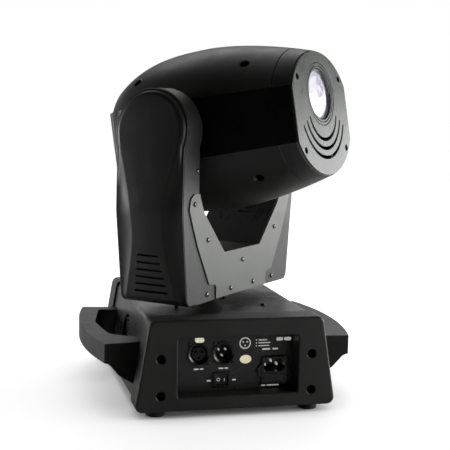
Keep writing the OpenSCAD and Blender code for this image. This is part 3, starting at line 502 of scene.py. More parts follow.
def coated_glass(name):
    """The front lens: a white centre with a lilac coating that deepens towards its edge. It glows as painted light,
    with painted glints in noise blobs.
    """
    s = Surface(name)
    layer = s.node("ShaderNodeLayerWeight")
    layer.inputs["Blend"].default_value = 0.3
    edge = s.spread(layer.outputs["Facing"], 0.25, 0.75, 0.0, 1.0)
    # Painted glints: noise blobs that brighten the lens's colour and its glow.
    painted_glints = s.spread(s.noise(7, 3), 0.45, 0.62, 0.0, 1.0)
    film = s.mix(edge, (0.86, 0.83, 0.92), (0.2, 0.17, 0.3))
    s.set(Base_Color=s.mix(painted_glints, film, (0.9, 0.88, 0.95)), Roughness=s.spread(s.noise(6, 3), 0.3, 0.7, 0.03, 0.07))
    # Painted light: the lens glows in the coating's colour, and brighter in the painted glints.
    s.set(Emission_Color=film, Emission_Strength=s.spread(painted_glints, 0, 1, 0.38, 0.62))
    s.set(Coat_Weight=1.0, Coat_Roughness=0.02)
    s.bump(s.noise(8, 2), 0.01)
    return s.material


def floor_paper():
    """White paper that glows to the camera: it takes soft shadows near the object, partly real and partly painted by
    ambient occlusion, and fades to plain white further off.
    """
    s = Surface("floor_paper")
    s.set(Base_Color=s.mix(s.noise(400, 3), (0.8, 0.8, 0.8), (0.84, 0.84, 0.84)), Roughness=0.6)
    s.bump(s.noise(2, 3), 0.02)
    place = s.node("ShaderNodeNewGeometry")
    reach = s.node("ShaderNodeVectorMath")
    reach.operation = "LENGTH"
    s.material.node_tree.links.new(place.outputs["Position"], reach.inputs[0])
    far = s.spread(reach.outputs["Value"], 0.2, 1.0, 0.75, 1.0)
    # Painted contact shadow: ambient occlusion cuts the glow that the camera sees near the object.
    open_sky = s.node("ShaderNodeAmbientOcclusion", samples=12)
    open_sky.inputs["Distance"].default_value = 0.09
    glow = s.math("MULTIPLY", far, s.spread(open_sky.outputs["AO"], 0.05, 0.8, 0.0, 1.0))
    rays = s.node("ShaderNodeLightPath")
    s.set(Emission_Color=(1, 1, 1, 1), Emission_Strength=s.math("MULTIPLY", glow, rays.outputs["Is Camera Ray"]))
    return s.material


BLACK = (0.036, 0.0365, 0.0345)
PAINTS = {
    "black_moulding": moulded("black_moulding", BLACK, 0.4, wear=0.7),
    "black_sheet": coated("black_sheet", (0.048, 0.048, 0.0475), 0.3),
    "arm_paint": coated("arm_paint", (0.029, 0.0305, 0.0288), 0.48),
    "plate_paint": coated("plate_paint", (0.15, 0.157, 0.148), 0.42),
    "face_metal": coated("face_metal", (0.125, 0.133, 0.125), 0.3, 0.004, 0.1, 0.0),
    "side_gloss": moulded("side_gloss", (0.006, 0.006, 0.0058), 0.3, 0.7, 0.02, 0.08, 0.02),
    "lens_glass": coated_glass("lens_glass"),
    "socket_metal": metal("socket_metal", (0.09, 0.09, 0.09), 0.25),
    "black_fitting": gloss("black_fitting", (0.012, 0.012, 0.012), 0.25),
    "smoked_window": gloss("smoked_window", (0.01, 0.01, 0.012), 0.06, 1.0),
    # The latch tab's cream plastic glows: a painted highlight.
    "cream_plastic": printed("cream_plastic", (0.86, 0.8, 0.6), 0.6),
    "insert": moulded("insert", (0.008, 0.008, 0.008), 0.55, 0.5, 0.02, 0.05, 0.0),
    # The pins and blades glow a little: a painted highlight.
    "pin_metal": metal("pin_metal", (0.85, 0.84, 0.78), 0.2, glow=0.3),
    "black_anodised": metal("black_anodised", (0.035, 0.035, 0.036), 0.35, (1, 1, 0.1)),
    "black_rubber": rubber("black_rubber"),
    "belt_rubber": rubber("belt_rubber", (0.012, 0.012, 0.012)),
    "zinc_screw": metal("zinc_screw", (0.24, 0.235, 0.22), 0.25),
    "black_screw": metal("black_screw", (0.02, 0.02, 0.02), 0.4),
    "zinc_steel": metal("zinc_steel", (0.6, 0.6, 0.6), 0.35, (1, 0.05, 1)),
    "turned_aluminium": metal("turned_aluminium", (0.76, 0.77, 0.78), 0.28, (1, 1, 0.1)),
    "bearing_steel": metal("bearing_steel", (0.65, 0.65, 0.66), 0.18),
    "motor_black": coated("motor_black", (0.02, 0.02, 0.02), 0.35),
    "circuit_board": circuit("circuit_board"),
    "print": printed("print", (0.75, 0.75, 0.73), 0.4),
    "label": printed("label", (0.84, 0.77, 0.54), 0.6),
    "filter_wheel": metal("filter_wheel", (0.7, 0.7, 0.72), 0.3, (0.1, 1, 1)),
}


# ---------- the stage ----------

CAMERA_AT = Vector((-0.29106, -1.23998, 0.34379))
CAMERA_YAW = math.radians(14.03)
CAMERA_PITCH = math.radians(6.65)
CAMERA_ROLL = 0.0198
CAMERA_LENS = 84.4
LOOK_AT = Vector((0, 0, 0.2))
WORLD_DIM = 0.004
WORLD_BRIGHT = 0.06


def add_camera():
    ahead = Vector((math.sin(CAMERA_YAW), math.cos(CAMERA_YAW), 0)) * math.cos(CAMERA_PITCH)
    ahead.z = -math.sin(CAMERA_PITCH)
    right = Vector((math.cos(CAMERA_YAW), -math.sin(CAMERA_YAW), 0))
    up = right.cross(ahead)
    level = Matrix((right, up, -ahead)).transposed()
    data = bpy.data.cameras.new("camera")
    data.lens = CAMERA_LENS
    data.clip_end = 50
    camera = bpy.data.objects.new("camera", data)
    bpy.context.scene.collection.objects.link(camera)
    camera.matrix_world = Matrix.Translation(CAMERA_AT) @ (level @ Matrix.Rotation(CAMERA_ROLL, 3, "Z")).to_4x4()
    bpy.context.scene.camera = camera


def add_light(name, place, size, power):
    data = bpy.data.lights.new(name, "AREA")
    data.shape = "RECTANGLE"
    data.size, data.size_y = size
    data.energy = power
    lamp = bpy.data.objects.new(name, data)
    bpy.context.scene.collection.objects.link(lamp)
    lamp.location = place
    lamp.rotation_euler = (LOOK_AT - Vector(place)).to_track_quat("-Z", "Y").to_euler()
    lamp.visible_camera = False


def add_world():
    """White to the camera. As light, it is dark in front and bright low down behind."""
    world = bpy.data.worlds.new("studio")
    bpy.context.scene.world = world
    world.use_nodes = True
    tree = world.node_tree
    shown = tree.nodes["Background"]
    lit = tree.nodes.new("ShaderNodeBackground")
    place = tree.nodes.new("ShaderNodeTexCoord")
    parts = tree.nodes.new("ShaderNodeSeparateXYZ")
    fade = tree.nodes.new("ShaderNodeMapRange")
    limits = {"From Min": 0.1, "From Max": 0.95, "To Min": WORLD_DIM, "To Max": WORLD_BRIGHT}
    for name, value in limits.items():
        fade.inputs[name].default_value = value
    rays = tree.nodes.new("ShaderNodeLightPath")
    pick = tree.nodes.new("ShaderNodeMixShader")
    tree.links.new(place.outputs["Generated"], parts.inputs[0])
    tree.links.new(parts.outputs["Y"], fade.inputs["Value"])
    tree.links.new(fade.outputs[0], lit.inputs["Strength"])
    tree.links.new(rays.outputs["Is Camera Ray"], pick.inputs[0])
    tree.links.new(lit.outputs[0], pick.inputs[1])
    tree.links.new(shown.outputs[0], pick.inputs[2])
    tree.links.new(pick.outputs[0], tree.nodes["World Output"].inputs["Surface"])
    shown.inputs["Color"].default_value = (1, 1, 1, 1)


def add_floor():
    half = 6.0
    floor = make("floor", [(-half, -half, 0), (half, -half, 0), (half, half, 0), (-half, half, 0)],
                 [(0, 1, 2, 3)], Matrix.Identity(4))
    floor.data.materials.append(floor_paper())


def add_stage():
    bpy.context.scene.view_settings.view_transform = "Standard"
    add_camera()
    add_world()
    add_floor()
    add_light("side", (1.5, 0.62, 0.26), (1.0, 0.5), 5)
    add_light("low_right", (1.6, -0.35, 0.35), (0.9, 0.7), 14)
    add_light("low_left", (-1.6, 0.75, 0.3), (0.8, 0.5), 10)
    add_light("right_front", (1.3, -1.1, 0.4), (0.6, 0.6), 4)
    add_light("backdrop", (0.3, 2.2, 0.5), (3.4, 1.0), 6)
    add_light("top", (0.15, 0.35, 1.9), (1.6, 1.2), 1.6)
    add_light("top_behind", (0.2, 1.4, 1.6), (1.6, 0.8), 7)
    add_light("right_behind", (1.2, 1.4, 0.7), (0.9, 1.2), 3)


# ---------- the head ----------

FACE_L = 144.5
TAIL_L = 113.0
BACK_L = -101.0
SEAM_L = 124.5
WALL = 2.5
LIP = 1.2
LENS_Y = 22.0
LENS_R = 27.0
RING_R = 36.0


def head_r(l):
    """The head's radius along the optical axis: fullest near the tilt axis, falling off to both ends."""
    full_r, full_l = 96.1, 15.8
    if l > full_l:
        return full_r - 25.1 * ((l - full_l) / (FACE_L - full_l)) ** 1.67
    return full_r - 27.6 * ((full_l - l) / (full_l - BACK_L)) ** 2.95


def panel_half(l):
    """Half the height of the side panels, which are taller towards the back."""
    return 34.5 - 0.0226 * l


def head_axes(l):
    """Half width and half height of the oval section, which widens near the face."""
    square_from = 80.0
    share = smooth((l - square_from) / (FACE_L - square_from))
    return head_r(l) + 10 * share, head_r(l) + 0.5 * share


def over_top(l, inset, low=0.0, steps=56):
    """The oval section over the top, from one flat side to the other."""
    a, b = head_axes(l)
    a, b = a - inset, b - inset
    start = math.asin((panel_half(l) - low) / b)
    turns = [lerp(start, math.pi - start, i / steps) for i in range(steps + 1)]
    return [(a * math.cos(t), b * math.sin(t)) for t in turns]


def flat_x(l, inset=0.0):
    return over_top(l, inset)[0][0]


def oval(l, inset, lip=0.0):
    """The whole section. The flat sides lie a lip's depth below the curved stretches."""
    top = over_top(l, inset)
    half = panel_half(l)
    left = (lip - flat_x(l, inset))
    side = [(left, lerp(half, -half, i / 6)) for i in range(7)] if lip else []
    under = [(-x, -y) for x, y in top]
    return top + side + under + [(-x, -y) for x, y in side]


def spaced(l0, l1, count):
    return [lerp(l0, l1, i / count) for i in range(count + 1)]


def sheet_shell(name, outer, inner, place, closed):
    """A wall between two grids of points, open or closed across their rows."""
    rows, n = len(outer), len(outer[0])
    verts = [p for row in outer for p in row] + [p for row in inner for p in row]
    base = rows * n
    last = n if closed else n - 1
    faces = []
    for i in range(rows - 1):
        for j in range(last):
            a, b = i * n + j, i * n + (j + 1) % n
            faces.append((a, b, b + n, a + n))
            faces.append((base + a, base + a + n, base + b + n, base + b))
    for j in range(last):
        for i in (0, (rows - 1) * n):
            a, b = i + j, i + (j + 1) % n
            faces.append((a, b, base + b, base + a))
    if not closed:
        for i in range(rows - 1):
            for j in (0, n - 1):
                a, b = i * n + j, (i + 1) * n + j
                faces.append((a, b, base + b, base + a))
    return make(name, verts, faces, place)


COVER_SCREWS = [(86.3, 42.5), (-57.0, 42.5)]


def screw_spot(l, angle, side, depth):
    """A frame whose Z points out of the head's curve, at a cover screw."""
    turn = Matrix.Rotation(math.radians(side * angle), 4, "Z")
    out = turn @ Matrix.Translation((0, head_r(l) - depth, l)) @ Matrix.Rotation(math.radians(-90), 4, "X")
    return out


def section(l, inset, low=0.0):
    return [(x, y, l) for x, y in over_top(l, inset, low)]


def head_cover(name, mirror):
    """A hollow cover with a rounded back end and a well for each screw."""
    place = HEAD @ mirror
    back_r = 5.0
    rings = []
    for i in range(7):
        a = math.radians(90 - 15 * i)
        rings.append(section(BACK_L + back_r * (1 - math.sin(a)), back_r * (1 - math.cos(a))))
    rings += [section(l, 0) for l in spaced(BACK_L + back_r + 2, SEAM_L - 1.1, 50)]
    piece = make(name, *tube(rings), place)
    room = [section(l, WALL, 8) for l in spaced(BACK_L + WALL, SEAM_L + 2, 40)]
    cut(piece, make("room", *tube(room), place))
    round_sharp(piece, 1.1, 4, 50)
    well_r, mouth_r, depth = 5.2, 5.8, 6.0
    well = [(0, 0), (well_r, 0), (well_r, depth - 1), (mouth_r, depth), (mouth_r + 5, depth + 8), (0, depth + 8)]
    for l, angle in COVER_SCREWS:
        for side in (-1, 1):
            spot = place @ screw_spot(l, angle, side, depth)
            boss = lathe("boss", [(0, -2.6), (7.4, -2.6), (7.4, 4.2), (0, 4.2)], spot, 40)
            boolean(piece, boss, "UNION")
            cut(piece, lathe("well", well, spot, 40))
    return piece


def side_panel(name, side):
    """A flat panel between the two covers, a lip's depth below them."""
    outer = []
    inner = []
    for l in spaced(BACK_L, SEAM_L, 50):
        x = flat_x(l) - LIP
        half = panel_half(l) + 0.5
        across = [lerp(-half, half, i / 8) for i in range(9)]
        outer.append([(side * x, y, l) for y in across])
        inner.append([(side * (x - WALL), y, l) for y in across])
    return sheet_shell(name, outer, inner, HEAD, closed=False)


def front_bezel(name):
    fillet = 1.6
    ls = spaced(SEAM_L, FACE_L - fillet, 10)
    rows = [(l, 0.0) for l in ls]
    for i in range(1, 6):
        a = math.radians(18 * i)
        rows.append((FACE_L - fillet + fillet * math.sin(a), fillet * (1 - math.cos(a))))
    outer = [[(x, y, l) for x, y in oval(l, drop, LIP)] for l, drop in rows]
    inner = [[(x, y, min(l, FACE_L - 1.2)) for x, y in oval(l, WALL + drop, LIP)] for l, drop in rows]
    piece = sheet_shell(name, outer, inner, HEAD, closed=True)
    return round_sharp(piece, 0.45, 2, 50)


def paint_flats(bezel, paint):
    """The bezel's two flat sides carry on the side panels' finish."""
    bezel.data.materials.append(paint)
    corners = [HEAD.inverted() @ (bezel.matrix_world @ v.co) for v in bezel.data.vertices]
    for face in bezel.data.polygons:
        middle = sum((corners[i] for i in face.vertices), Vector()) / len(face.vertices)
        flat = abs(middle.y) < panel_half(middle.z) - 0.4 and abs(middle.x) > 40
        face.material_index = 1 if flat and middle.z < FACE_L - 1 else 0


FACE_SCREWS = [(-56.2, 40.3), (56.2, 40.3), (-56.2, -41), (56.2, -41)]
SLOTS = [(38.0, 71.0), (48.2, 69.0), (58.5, 67.0)]
SLOT_CENTRE_Y = 8.0


def crescent(r, half_angle):
    """Outline of a slot that is wide at its middle and narrow at its rounded ends."""
    end_w, middle_w, steps = 2.9, 4.1, 40
    outer = []
    inner = []
    for i in range(steps + 1):
        t = i / steps * 2 - 1
        a = math.radians(-90 + half_angle * t)
        half = (end_w + (middle_w - end_w) * (1 - t * t)) / 2
        outer.append(((r + half) * math.cos(a), (r + half) * math.sin(a) + SLOT_CENTRE_Y))
        inner.append(((r - half) * math.cos(a), (r - half) * math.sin(a) + SLOT_CENTRE_Y))
    ends = []
    for t in (1, -1):
        a = math.radians(-90 + half_angle * t)
        centre = (r * math.cos(a), r * math.sin(a) + SLOT_CENTRE_Y)
        way = math.degrees(a)
        ends.append(arc(centre, end_w / 2, way, way + 180 * t, 8)[1:-1])
    return outer + ends[0] + inner[::-1] + ends[1][::-1]


def face_plate(name):
    bottom, top, proud = FACE_L - 0.1, FACE_L + 2.0, 0.7
    outline = oval(FACE_L, 1.0)
    piece = prism(name, outline, "z", bottom, top, HEAD, 0.7, 3)
    rim = [(0, -9), (RING_R, -9), (RING_R, 1.5), (RING_R + 0.6, 2.1), (RING_R + 3, 5), (0, 5)]
    cut(piece, lathe("ring_hole", rim, HEAD @ Matrix.Translation((0, LENS_Y, FACE_L)), 128))
    for x, y in FACE_SCREWS:
        hole = [(0, -9), (3.5, -9), (3.5, 1.6), (4.0, 2.05), (6, 5), (0, 5)]
        cut(piece, lathe("screw_hole", hole, HEAD @ Matrix.Translation((x, y, FACE_L)), 32))
    for r, half_angle in SLOTS:
        cut(piece, prism("slot", crescent(r, half_angle), "z", bottom - 5, top + 5, HEAD))
    return piece


def lens_ring(name):
    """The ring around the lens: a flat band, a groove, and a fine inner lip."""
    edge_r, groove_r, lip_r = RING_R - 0.45, 32.4, 29.2
    profile = [(LENS_R + 0.6, -6), (edge_r, -6), (edge_r, 1.3), (edge_r - 0.4, 1.7), (groove_r + 0.5, 1.7),
               (groove_r + 0.3, 1.5), (groove_r + 0.2, 0.1), (groove_r - 0.7, 0.1), (groove_r - 0.8, 1.3),
               (groove_r - 1.1, 1.6), (lip_r + 0.7, 1.6), (lip_r, 1.0), (lip_r - 0.2, -3), (LENS_R + 0.6, -3.4)]
    return lathe(name, profile, HEAD @ Matrix.Translation((0, LENS_Y, FACE_L)), 144)


def lens_seat(name):
    """The black seat inside the ring, which the lens is pressed into."""
    profile = [(LENS_R + 0.15, -5.9), (LENS_R + 0.55, -5.9), (LENS_R + 0.55, -3.3), (28.95, -2.9),
               (28.95, 0.2), (28.2, 0.6), (27.6, 0.2), (LENS_R + 0.15, -1.6)]
    return lathe(name, profile, HEAD @ Matrix.Translation((0, LENS_Y, FACE_L)), 144)


def front_lens(name):
    """A plano-convex lens: a spherical dome on a short straight rim."""
    rise, rim_z, flat_z = 5.6, -2.4, -3.8
    dome_r = (LENS_R ** 2 + rise ** 2) / (2 * rise)
    reach = math.asin(LENS_R / dome_r)
    steps = 24
    dome = []
    for i in range(steps + 1):
        a = reach * (1 - i / steps)
        dome.append((dome_r * math.sin(a), rim_z + rise - dome_r * (1 - math.cos(a))))
    profile = [(0, flat_z), (LENS_R, flat_z)] + dome
    return lathe(name, profile, HEAD @ Matrix.Translation((0, LENS_Y, FACE_L)), 128)


def rear_plan(inset):
    """The rear cap's plan: a shallow box with sloping corners and a swollen back."""
    side, slope = flat_x(BACK_L) - LIP - inset, 8.0
    corner_l, back_l = 2.2 - TAIL_L + inset, inset - TAIL_L
    right = [(side, BACK_L - 0.2), (side - 1.4, BACK_L - 3.2), (side - slope, corner_l), (side - slope - 9, back_l + 0.6)]
    line = right + [(0, back_l)] + [(-x, l) for x, l in right[::-1]]
    return rounded(line, [0, 4, 5, 30, 400, 30, 5, 4, 0], 8)


def rear_cap(name):
    """The box that closes the back between the two covers, with ring-shaped vents."""
    half = panel_half(-TAIL_L + 6)
    piece = prism(name, rear_plan(0), "y", -half, half, HEAD, 1.3, 3)
    room = prism("room", rear_plan(WALL), "y", WALL - half, half - WALL, HEAD)
    cut(piece, room)
    mouth = box_line(WALL + 1 - 56, 56 - WALL - 1, WALL - half, half - WALL, 0)
    cut(piece, prism("mouth", mouth, "z", BACK_L - 5, BACK_L + 3, HEAD))
    vents = []
    for ring in range(4):
        r = 10.0 + 7 * ring
        for i in range(6):
            web = math.degrees(2.5 / r)
            first, last = 60 * i + web, 60 * i + 60 - web
            outline = arc((0, 0), r + 3, first, last, 14) + arc((0, 0), r, last, first, 14)
            vents.append(prism("vent", outline, "z", -TAIL_L - 5, -TAIL_L + 6, HEAD))
    cut(piece, join(*vents))
    return round_sharp(merge_flat(piece), 0.3, 2, 50)


def socket_head_screw(name, spots):
    """Black cap screws with a cross recess, one at each frame of the list."""
    screws = []
    for spot in spots:
        profile = [(0, -2), (2.0, -2), (3.4, -0.2), (3.6, 0.6), (3.3, 1.3), (2.2, 1.8), (0, 2.0)]
        screw = lathe("screw", profile, spot, 28)
        for turn in (0, 90):
            arm = prism("arm", box_line(-2.0, 2.0, -0.4, 0.4, 0), "z", 0.9, 3,
                        spot @ Matrix.Rotation(math.radians(turn), 4, "Z"))
            cut(screw, arm)
        screws.append(screw)
    piece = join(*screws)
    piece.name = name
    return piece


def head_screws(name):
    spots = []
    for x, y in FACE_SCREWS:
        spots.append(HEAD @ Matrix.Translation((x, y, FACE_L - 1.6)) @ Matrix.Scale(0.92, 4))
    for mirror in (Matrix.Identity(4), MIRROR_Y):
        for l, angle in COVER_SCREWS:
            for side in (-1, 1):
                spots.append(HEAD @ mirror @ screw_spot(l, angle, side, 6) @ Matrix.Translation((0, 0, 0.4)))
    return socket_head_screw(name, spots)


def add_head():
    black = PAINTS["black_moulding"]
    stand_for(head_cover("head_top_shell", Matrix.Identity(4)), "head_top_cover", black, 30)
    stand_for(head_cover("head_bottom_shell", MIRROR_Y), "head_bottom_cover", black, 30)
    panels = join(side_panel("side_panels", -1), side_panel("panel", 1))
    stand_for(round_sharp(panels, 0.4, 2, 50), "head_side_panels", PAINTS["side_gloss"], 30)
    bezel = stand_for(front_bezel("bezel"), "front_bezel", black, 30)
    paint_flats(bezel, PAINTS["side_gloss"])
    stand_for(face_plate("face"), "face_plate", PAINTS["face_metal"], 30)
    stand_for(lens_ring("ring"), "lens_ring", PAINTS["face_metal"], 25)
    stand_for(front_lens("lens"), "front_lens", PAINTS["lens_glass"], 30)
    ride_on(lens_seat("lens_seat"), "lens_ring", PAINTS["black_fitting"])
    stand_for(rear_cap("rear_cover"), "rear_cap", black, 25)
    stand_for(head_screws("head_screw_set"), "head_screws", PAINTS["black_screw"], 40)


# ---------- the yoke ----------

TILT_Z = TILT.z / MM
ARM_IN = 101.0
ARM_R = 47.0
ARM_HALF = 44.0
ARM_FOOT_Z = 117.0
ARM_WALL = 2.5
FLOOR_Z = 118.0
NOTCH_Z = 134.0
PLATE_T = 1.5
PLATE_GAP = 0.1
COVER_GAP = 0.2
COVER_LEDGE = 1.8
COVER_RISE = 4.9
COVER_CROWN = 1.3
COVER_SKIN = 2.2
LEDGE_W = 3.2
WAIST_Z = 200.0
WAIST_HALF = 20.0
VENT_COUNT = 6


def arm_outline(inset, leg_steps=44):
    """Side view of an arm in Y and Z: a round head on a straight leg."""
    r = ARM_R - inset
    half = ARM_HALF - inset
    meet = math.degrees(math.asin(half / r))
    foot = ARM_FOOT_Z + inset
    shoulder = TILT_Z - r * math.cos(math.radians(meet))
    corner = 2.0
    base = [(lerp(corner - half, half - corner, i / 20), foot) for i in range(21)]
    corner_r = arc((half - corner, foot + corner), corner, -72, 0, 4)
    corner_l = arc((corner - half, foot + corner), corner, 180, 252, 4)
    leg = [(half, lerp(foot + corner, shoulder, i / leg_steps)) for i in range(1, leg_steps)]
    head = arc((0, TILT_Z), r, meet - 90, 270 - meet, 72)
    return base + corner_r + leg + head + [(-y, z) for y, z in leg[::-1]] + corner_l


ARM_FRONT = rounded([(ARM_IN, ARM_FOOT_Z), (118, ARM_FOOT_Z), (124, 123), (131, 183), (135.5, 222),
                     (133.5, 285), (127, 360), (ARM_IN, 360)], [0, 4, 8, 60, 60, 60, 0, 0], 12)


def arm_edge(z):
    """How far out the arm's outer edge stands at a height."""
    line = [p for p in ARM_FRONT if p[0] > ARM_IN + 1]
    for a, b in zip(line, line[1:]):
        if a[1] <= z <= b[1] and b[1] > a[1]:
            return lerp(a[0], b[0], (z - a[1]) / (b[1] - a[1]))
    return line[0][0] if z < line[0][1] else line[-1][0]


def arm_half(z):
    """Half the depth of an arm at a height below the tilt axis."""
    drop = min(TILT_Z - z, math.sqrt(ARM_R ** 2 - ARM_HALF ** 2))
    return math.sqrt(ARM_R ** 2 - drop ** 2)


def plateau_half(z):
    """Half the width of the cover's raised middle: narrow at the waist, wide at both ends."""
    top_half, foot_half = ARM_R - 10, 36.0
    if z > WAIST_Z:
        return lerp(WAIST_HALF, top_half, smooth((z - WAIST_Z) / (TILT_Z + 4 - WAIST_Z)))
    return lerp(WAIST_HALF, foot_half, ((WAIST_Z - z) / (WAIST_Z - ARM_FOOT_Z)) ** 1.5)


def cover_x(y, z):
    """How far out the arm cover's surface stands: a ledge, a hollow flank and a crowned middle."""
    if z > TILT_Z:
        out, edge, inner = math.hypot(y, z - TILT_Z), ARM_R - LEDGE_W, ARM_R - 10
    else:
        out, edge, inner = abs(y), arm_half(z) - LEDGE_W, plateau_half(z)
    s = min(1.0, max(0.0, (out - inner) / (edge - inner)))
    hollow = (1 - s) ** 2
    swollen = math.sqrt(1 - s * s)
    rise = lerp(hollow, swollen, smooth((z - 240) / 55))
    crown = 1 - min(1.0, out / inner) ** 2
    toe_r = 11.0
    toe = math.sqrt(1 - max(0.0, 1 - (z - ARM_FOOT_Z) / toe_r) ** 2)
    return arm_edge(z) + COVER_LEDGE + (COVER_RISE * rise + COVER_CROWN * crown) * toe


def arm_frame(name, mirror):
    """The arm's tray: an inner wall with a rim all round, and flanges that run behind the plates."""
    place = YOKE @ mirror
    piece = prism(name, arm_outline(0), "x", ARM_IN, 146, place, 1.4, 3)
    keep_common(piece, prism("front", ARM_FRONT, "y", -60, 60, place))
    cut(piece, prism("room", arm_outline(ARM_WALL), "x", ARM_IN + ARM_WALL, 150, place))
    cut(piece, prism("bore", arc((0, TILT_Z), 18, 0, 354, 59), "x", 95, 110, place))
    for side in (1, -1):
        tab = [(63.5, FLOOR_Z), (104, ARM_FOOT_Z + 0.5), (104, 216), (100, 212), (92, 185), (74, 152),
               (63.5, NOTCH_Z + 12)]
        face, back = side * ARM_HALF, side * (ARM_HALF - ARM_WALL)
        boolean(piece, prism("tab", tab, "y", min(face, back), max(face, back), place), "UNION")
    return round_sharp(merge_flat(piece), 0.35, 2, 50)


def arm_cover(name, mirror):
    """The shell over an arm's outer side, with a row of vents near its foot."""
    edge_r = 1.4
    rings = []
    for out, drop in ((0.0, 0.0), (0.0, 0.4), (0.12, 0.72), (0.42, 0.92), (0.9, 1.0)):
        line = arm_outline(0.5 + out * edge_r)
        lift_by = COVER_GAP + (COVER_LEDGE - COVER_GAP) * drop
        rings.append([(arm_edge(z) + lift_by, y, z) for y, z in line])
    start = arm_outline(0.5 + edge_r)
    for k in range(61):
        t = (k / 60) ** 1.15
        ring = []
        for y, z in start:
            spine_z = min(TILT_Z, max(ARM_FOOT_Z + ARM_HALF, z))
            to_y, to_z = y * (1 - t), lerp(z, spine_z, t)
            ring.append((cover_x(to_y, to_z), to_y, to_z))
        rings.append(ring)
    verts, faces = tube(rings, closed=True, caps=False)
    piece = make(name, verts, faces, YOKE @ mirror)
    modifier = piece.modifiers.new("skin", "SOLIDIFY")
    modifier.thickness = COVER_SKIN * MM
    modifier.offset = -1
    bake(piece)
    for i in range(VENT_COUNT):
        z = 131.5 + 8.2 * i
        slot = box_line(2 * i - 24, 20 - 1.2 * i, z, z + 2.2, 1.05, 5)
        cut(piece, prism("vent", slot, "x", 120, 160, YOKE @ mirror))
    return piece


def plate_outline():
    right = rounded([(62.5, FLOOR_Z + 0.5), (62.5, NOTCH_Z + 0.5), (78.5, NOTCH_Z + 3), (106, 184), (125, 226),
                     (121, 238), (114, 243), (103, 242), (92, 220), (44, 171)],
                    [0, 4, 3, 60, 12, 6, 6, 0, 20, 0], 10)
    return right + [(-x, z) for x, z in right[::-1]]


PLATE_SCREWS = [(28.2, 126.5), (83.5, 189), (113.6, 231.5)]
ARM_SCREWS = [(81.3, 126.2), (106.5, 268)]


def yoke_plate(name, side):
    face = ARM_HALF + PLATE_GAP
    place = YOKE if side < 0 else YOKE @ MIRROR_Y
    piece = prism(name, plate_outline(), "y", -face - PLATE_T, -face, place, 0.35, 2)
    for x, z in PLATE_SCREWS + [(-x, z) for x, z in PLATE_SCREWS] + [(0, 157)]:
        cut(piece, prism("hole", arc((x, z), 1.7, 0, 345, 23), "y", -60, -30, place))
    return piece


def pan_head_screw(spot, r, height):
    """A domed screw with a cross recess."""
    profile = [(0, -1.5), (r * 0.5, -1.5), (r * 0.52, 0), (r, 0), (r, height * 0.35), (r * 0.9, height * 0.68),
               (r * 0.68, height * 0.9), (r * 0.35, height), (0, height)]
    screw = lathe("screw", profile, spot, 32)
    for turn in (20, 110):
        arm = prism("arm", box_line(-r * 0.62, r * 0.62, -r * 0.14, r * 0.14, 0), "z", height * 0.45, height + 1,
                    spot @ Matrix.Rotation(math.radians(turn), 4, "Z"))
        cut(screw, arm)
    return screw


def facing(place, x, y, z, side):
    """A frame whose Z points out of a front or back face, at a point on it."""
    return place @ Matrix.Translation((x, y, z)) @ Matrix.Rotation(math.radians(90 * side), 4, "X")


def yoke_screw_set(name):
    screws = []
    for side in (1, -1):
        for xs in (1, -1):
            for x, z in PLATE_SCREWS:
                face = ARM_HALF + PLATE_GAP + PLATE_T + 0.05
                screws.append(pan_head_screw(facing(YOKE, xs * x, -side * face, z, side), 2.8, 1.9))
            for x, z in ARM_SCREWS:
                screws.append(pan_head_screw(facing(YOKE, xs * x, -side * (ARM_HALF + 0.05), z, side), 2.8, 1.9))
        face = ARM_HALF + PLATE_GAP + PLATE_T + 0.05
        screws.append(pan_head_screw(facing(YOKE, 0, -side * face, 157, side), 2.8, 1.9))
    piece = join(*screws)
    piece.name = name
    return piece


def add_yoke():
    for name, mirror in (("far", Matrix.Identity(4)), ("near", MIRROR_X)):
        stand_for(arm_frame("arm_tray_" + name, mirror), "arm_frame_" + name, PAINTS["arm_paint"])
        stand_for(arm_cover("arm_shell_" + name, mirror), "arm_cover_" + name, PAINTS["black_moulding"], 40)
    stand_for(yoke_plate("plate_front", -1), "yoke_plate_front", PAINTS["plate_paint"])
    stand_for(yoke_plate("plate_rear", 1), "yoke_plate_rear", PAINTS["plate_paint"])
    stand_for(yoke_screw_set("yoke_screw_set"), "yoke_screws", PAINTS["zinc_screw"], 40)
    liner = round_sharp(from_cad("yoke_liner", "liner"), 0.15, 1, 50)
    stand_for(liner, "yoke_liner", PAINTS["black_sheet"])
    floor = round_sharp(from_cad("yoke_base", "yoke_floor"), 0.4, 2, 50)
    stand_for(floor, "yoke_base", PAINTS["black_sheet"])


# ---------- the base ----------

CAP_Z = 8.0
CAP_TOP = 109.0
END_Y = 146.0
CAP_D = 35.0
CAP_WALL = 3.0
GAP = 0.2
BOTTOM_HALF = 114.5
TOP_HALF = 98.0
LEAN = (BOTTOM_HALF - TOP_HALF) / (CAP_TOP - CAP_Z)
PANEL_Y = 24.0 - END_Y
RECESS = (-67.0, 70.0, CAP_Z + 15.5, CAP_Z + 81)
CAP_SCREWS = [(85.4, CAP_Z + 18), (85.4, CAP_Z + 58.7)]
FOOT_X = 88.0
FOOT_Y = 126.0
BUTTON_Z = CAP_Z + 44
BUTTON_XS = {"back": -42.0, "down": -14.0, "up": 14.0, "enter": 42.0}
BUTTON_R = 5.0
DISPLAY = (-44.0, 44.0, CAP_Z + 56, CAP_Z + 76)
COVER_SCREW = (52.0, 58.5)
FAN_Y = 4.0
FAN_Z = 66.0


def base_outline(inset, r, steps=8):
    """The end caps' trapezoid in X and Z, moved inwards by an inset."""
    side = inset * math.hypot(1, LEAN)
    low, high = CAP_Z + inset, CAP_TOP - inset
    bottom = BOTTOM_HALF - (low - CAP_Z) * LEAN - side
    top = BOTTOM_HALF - (high - CAP_Z) * LEAN - side
    return rounded([(-bottom, low), (bottom, low), (top, high), (-top, high)], [r] * 4, steps)


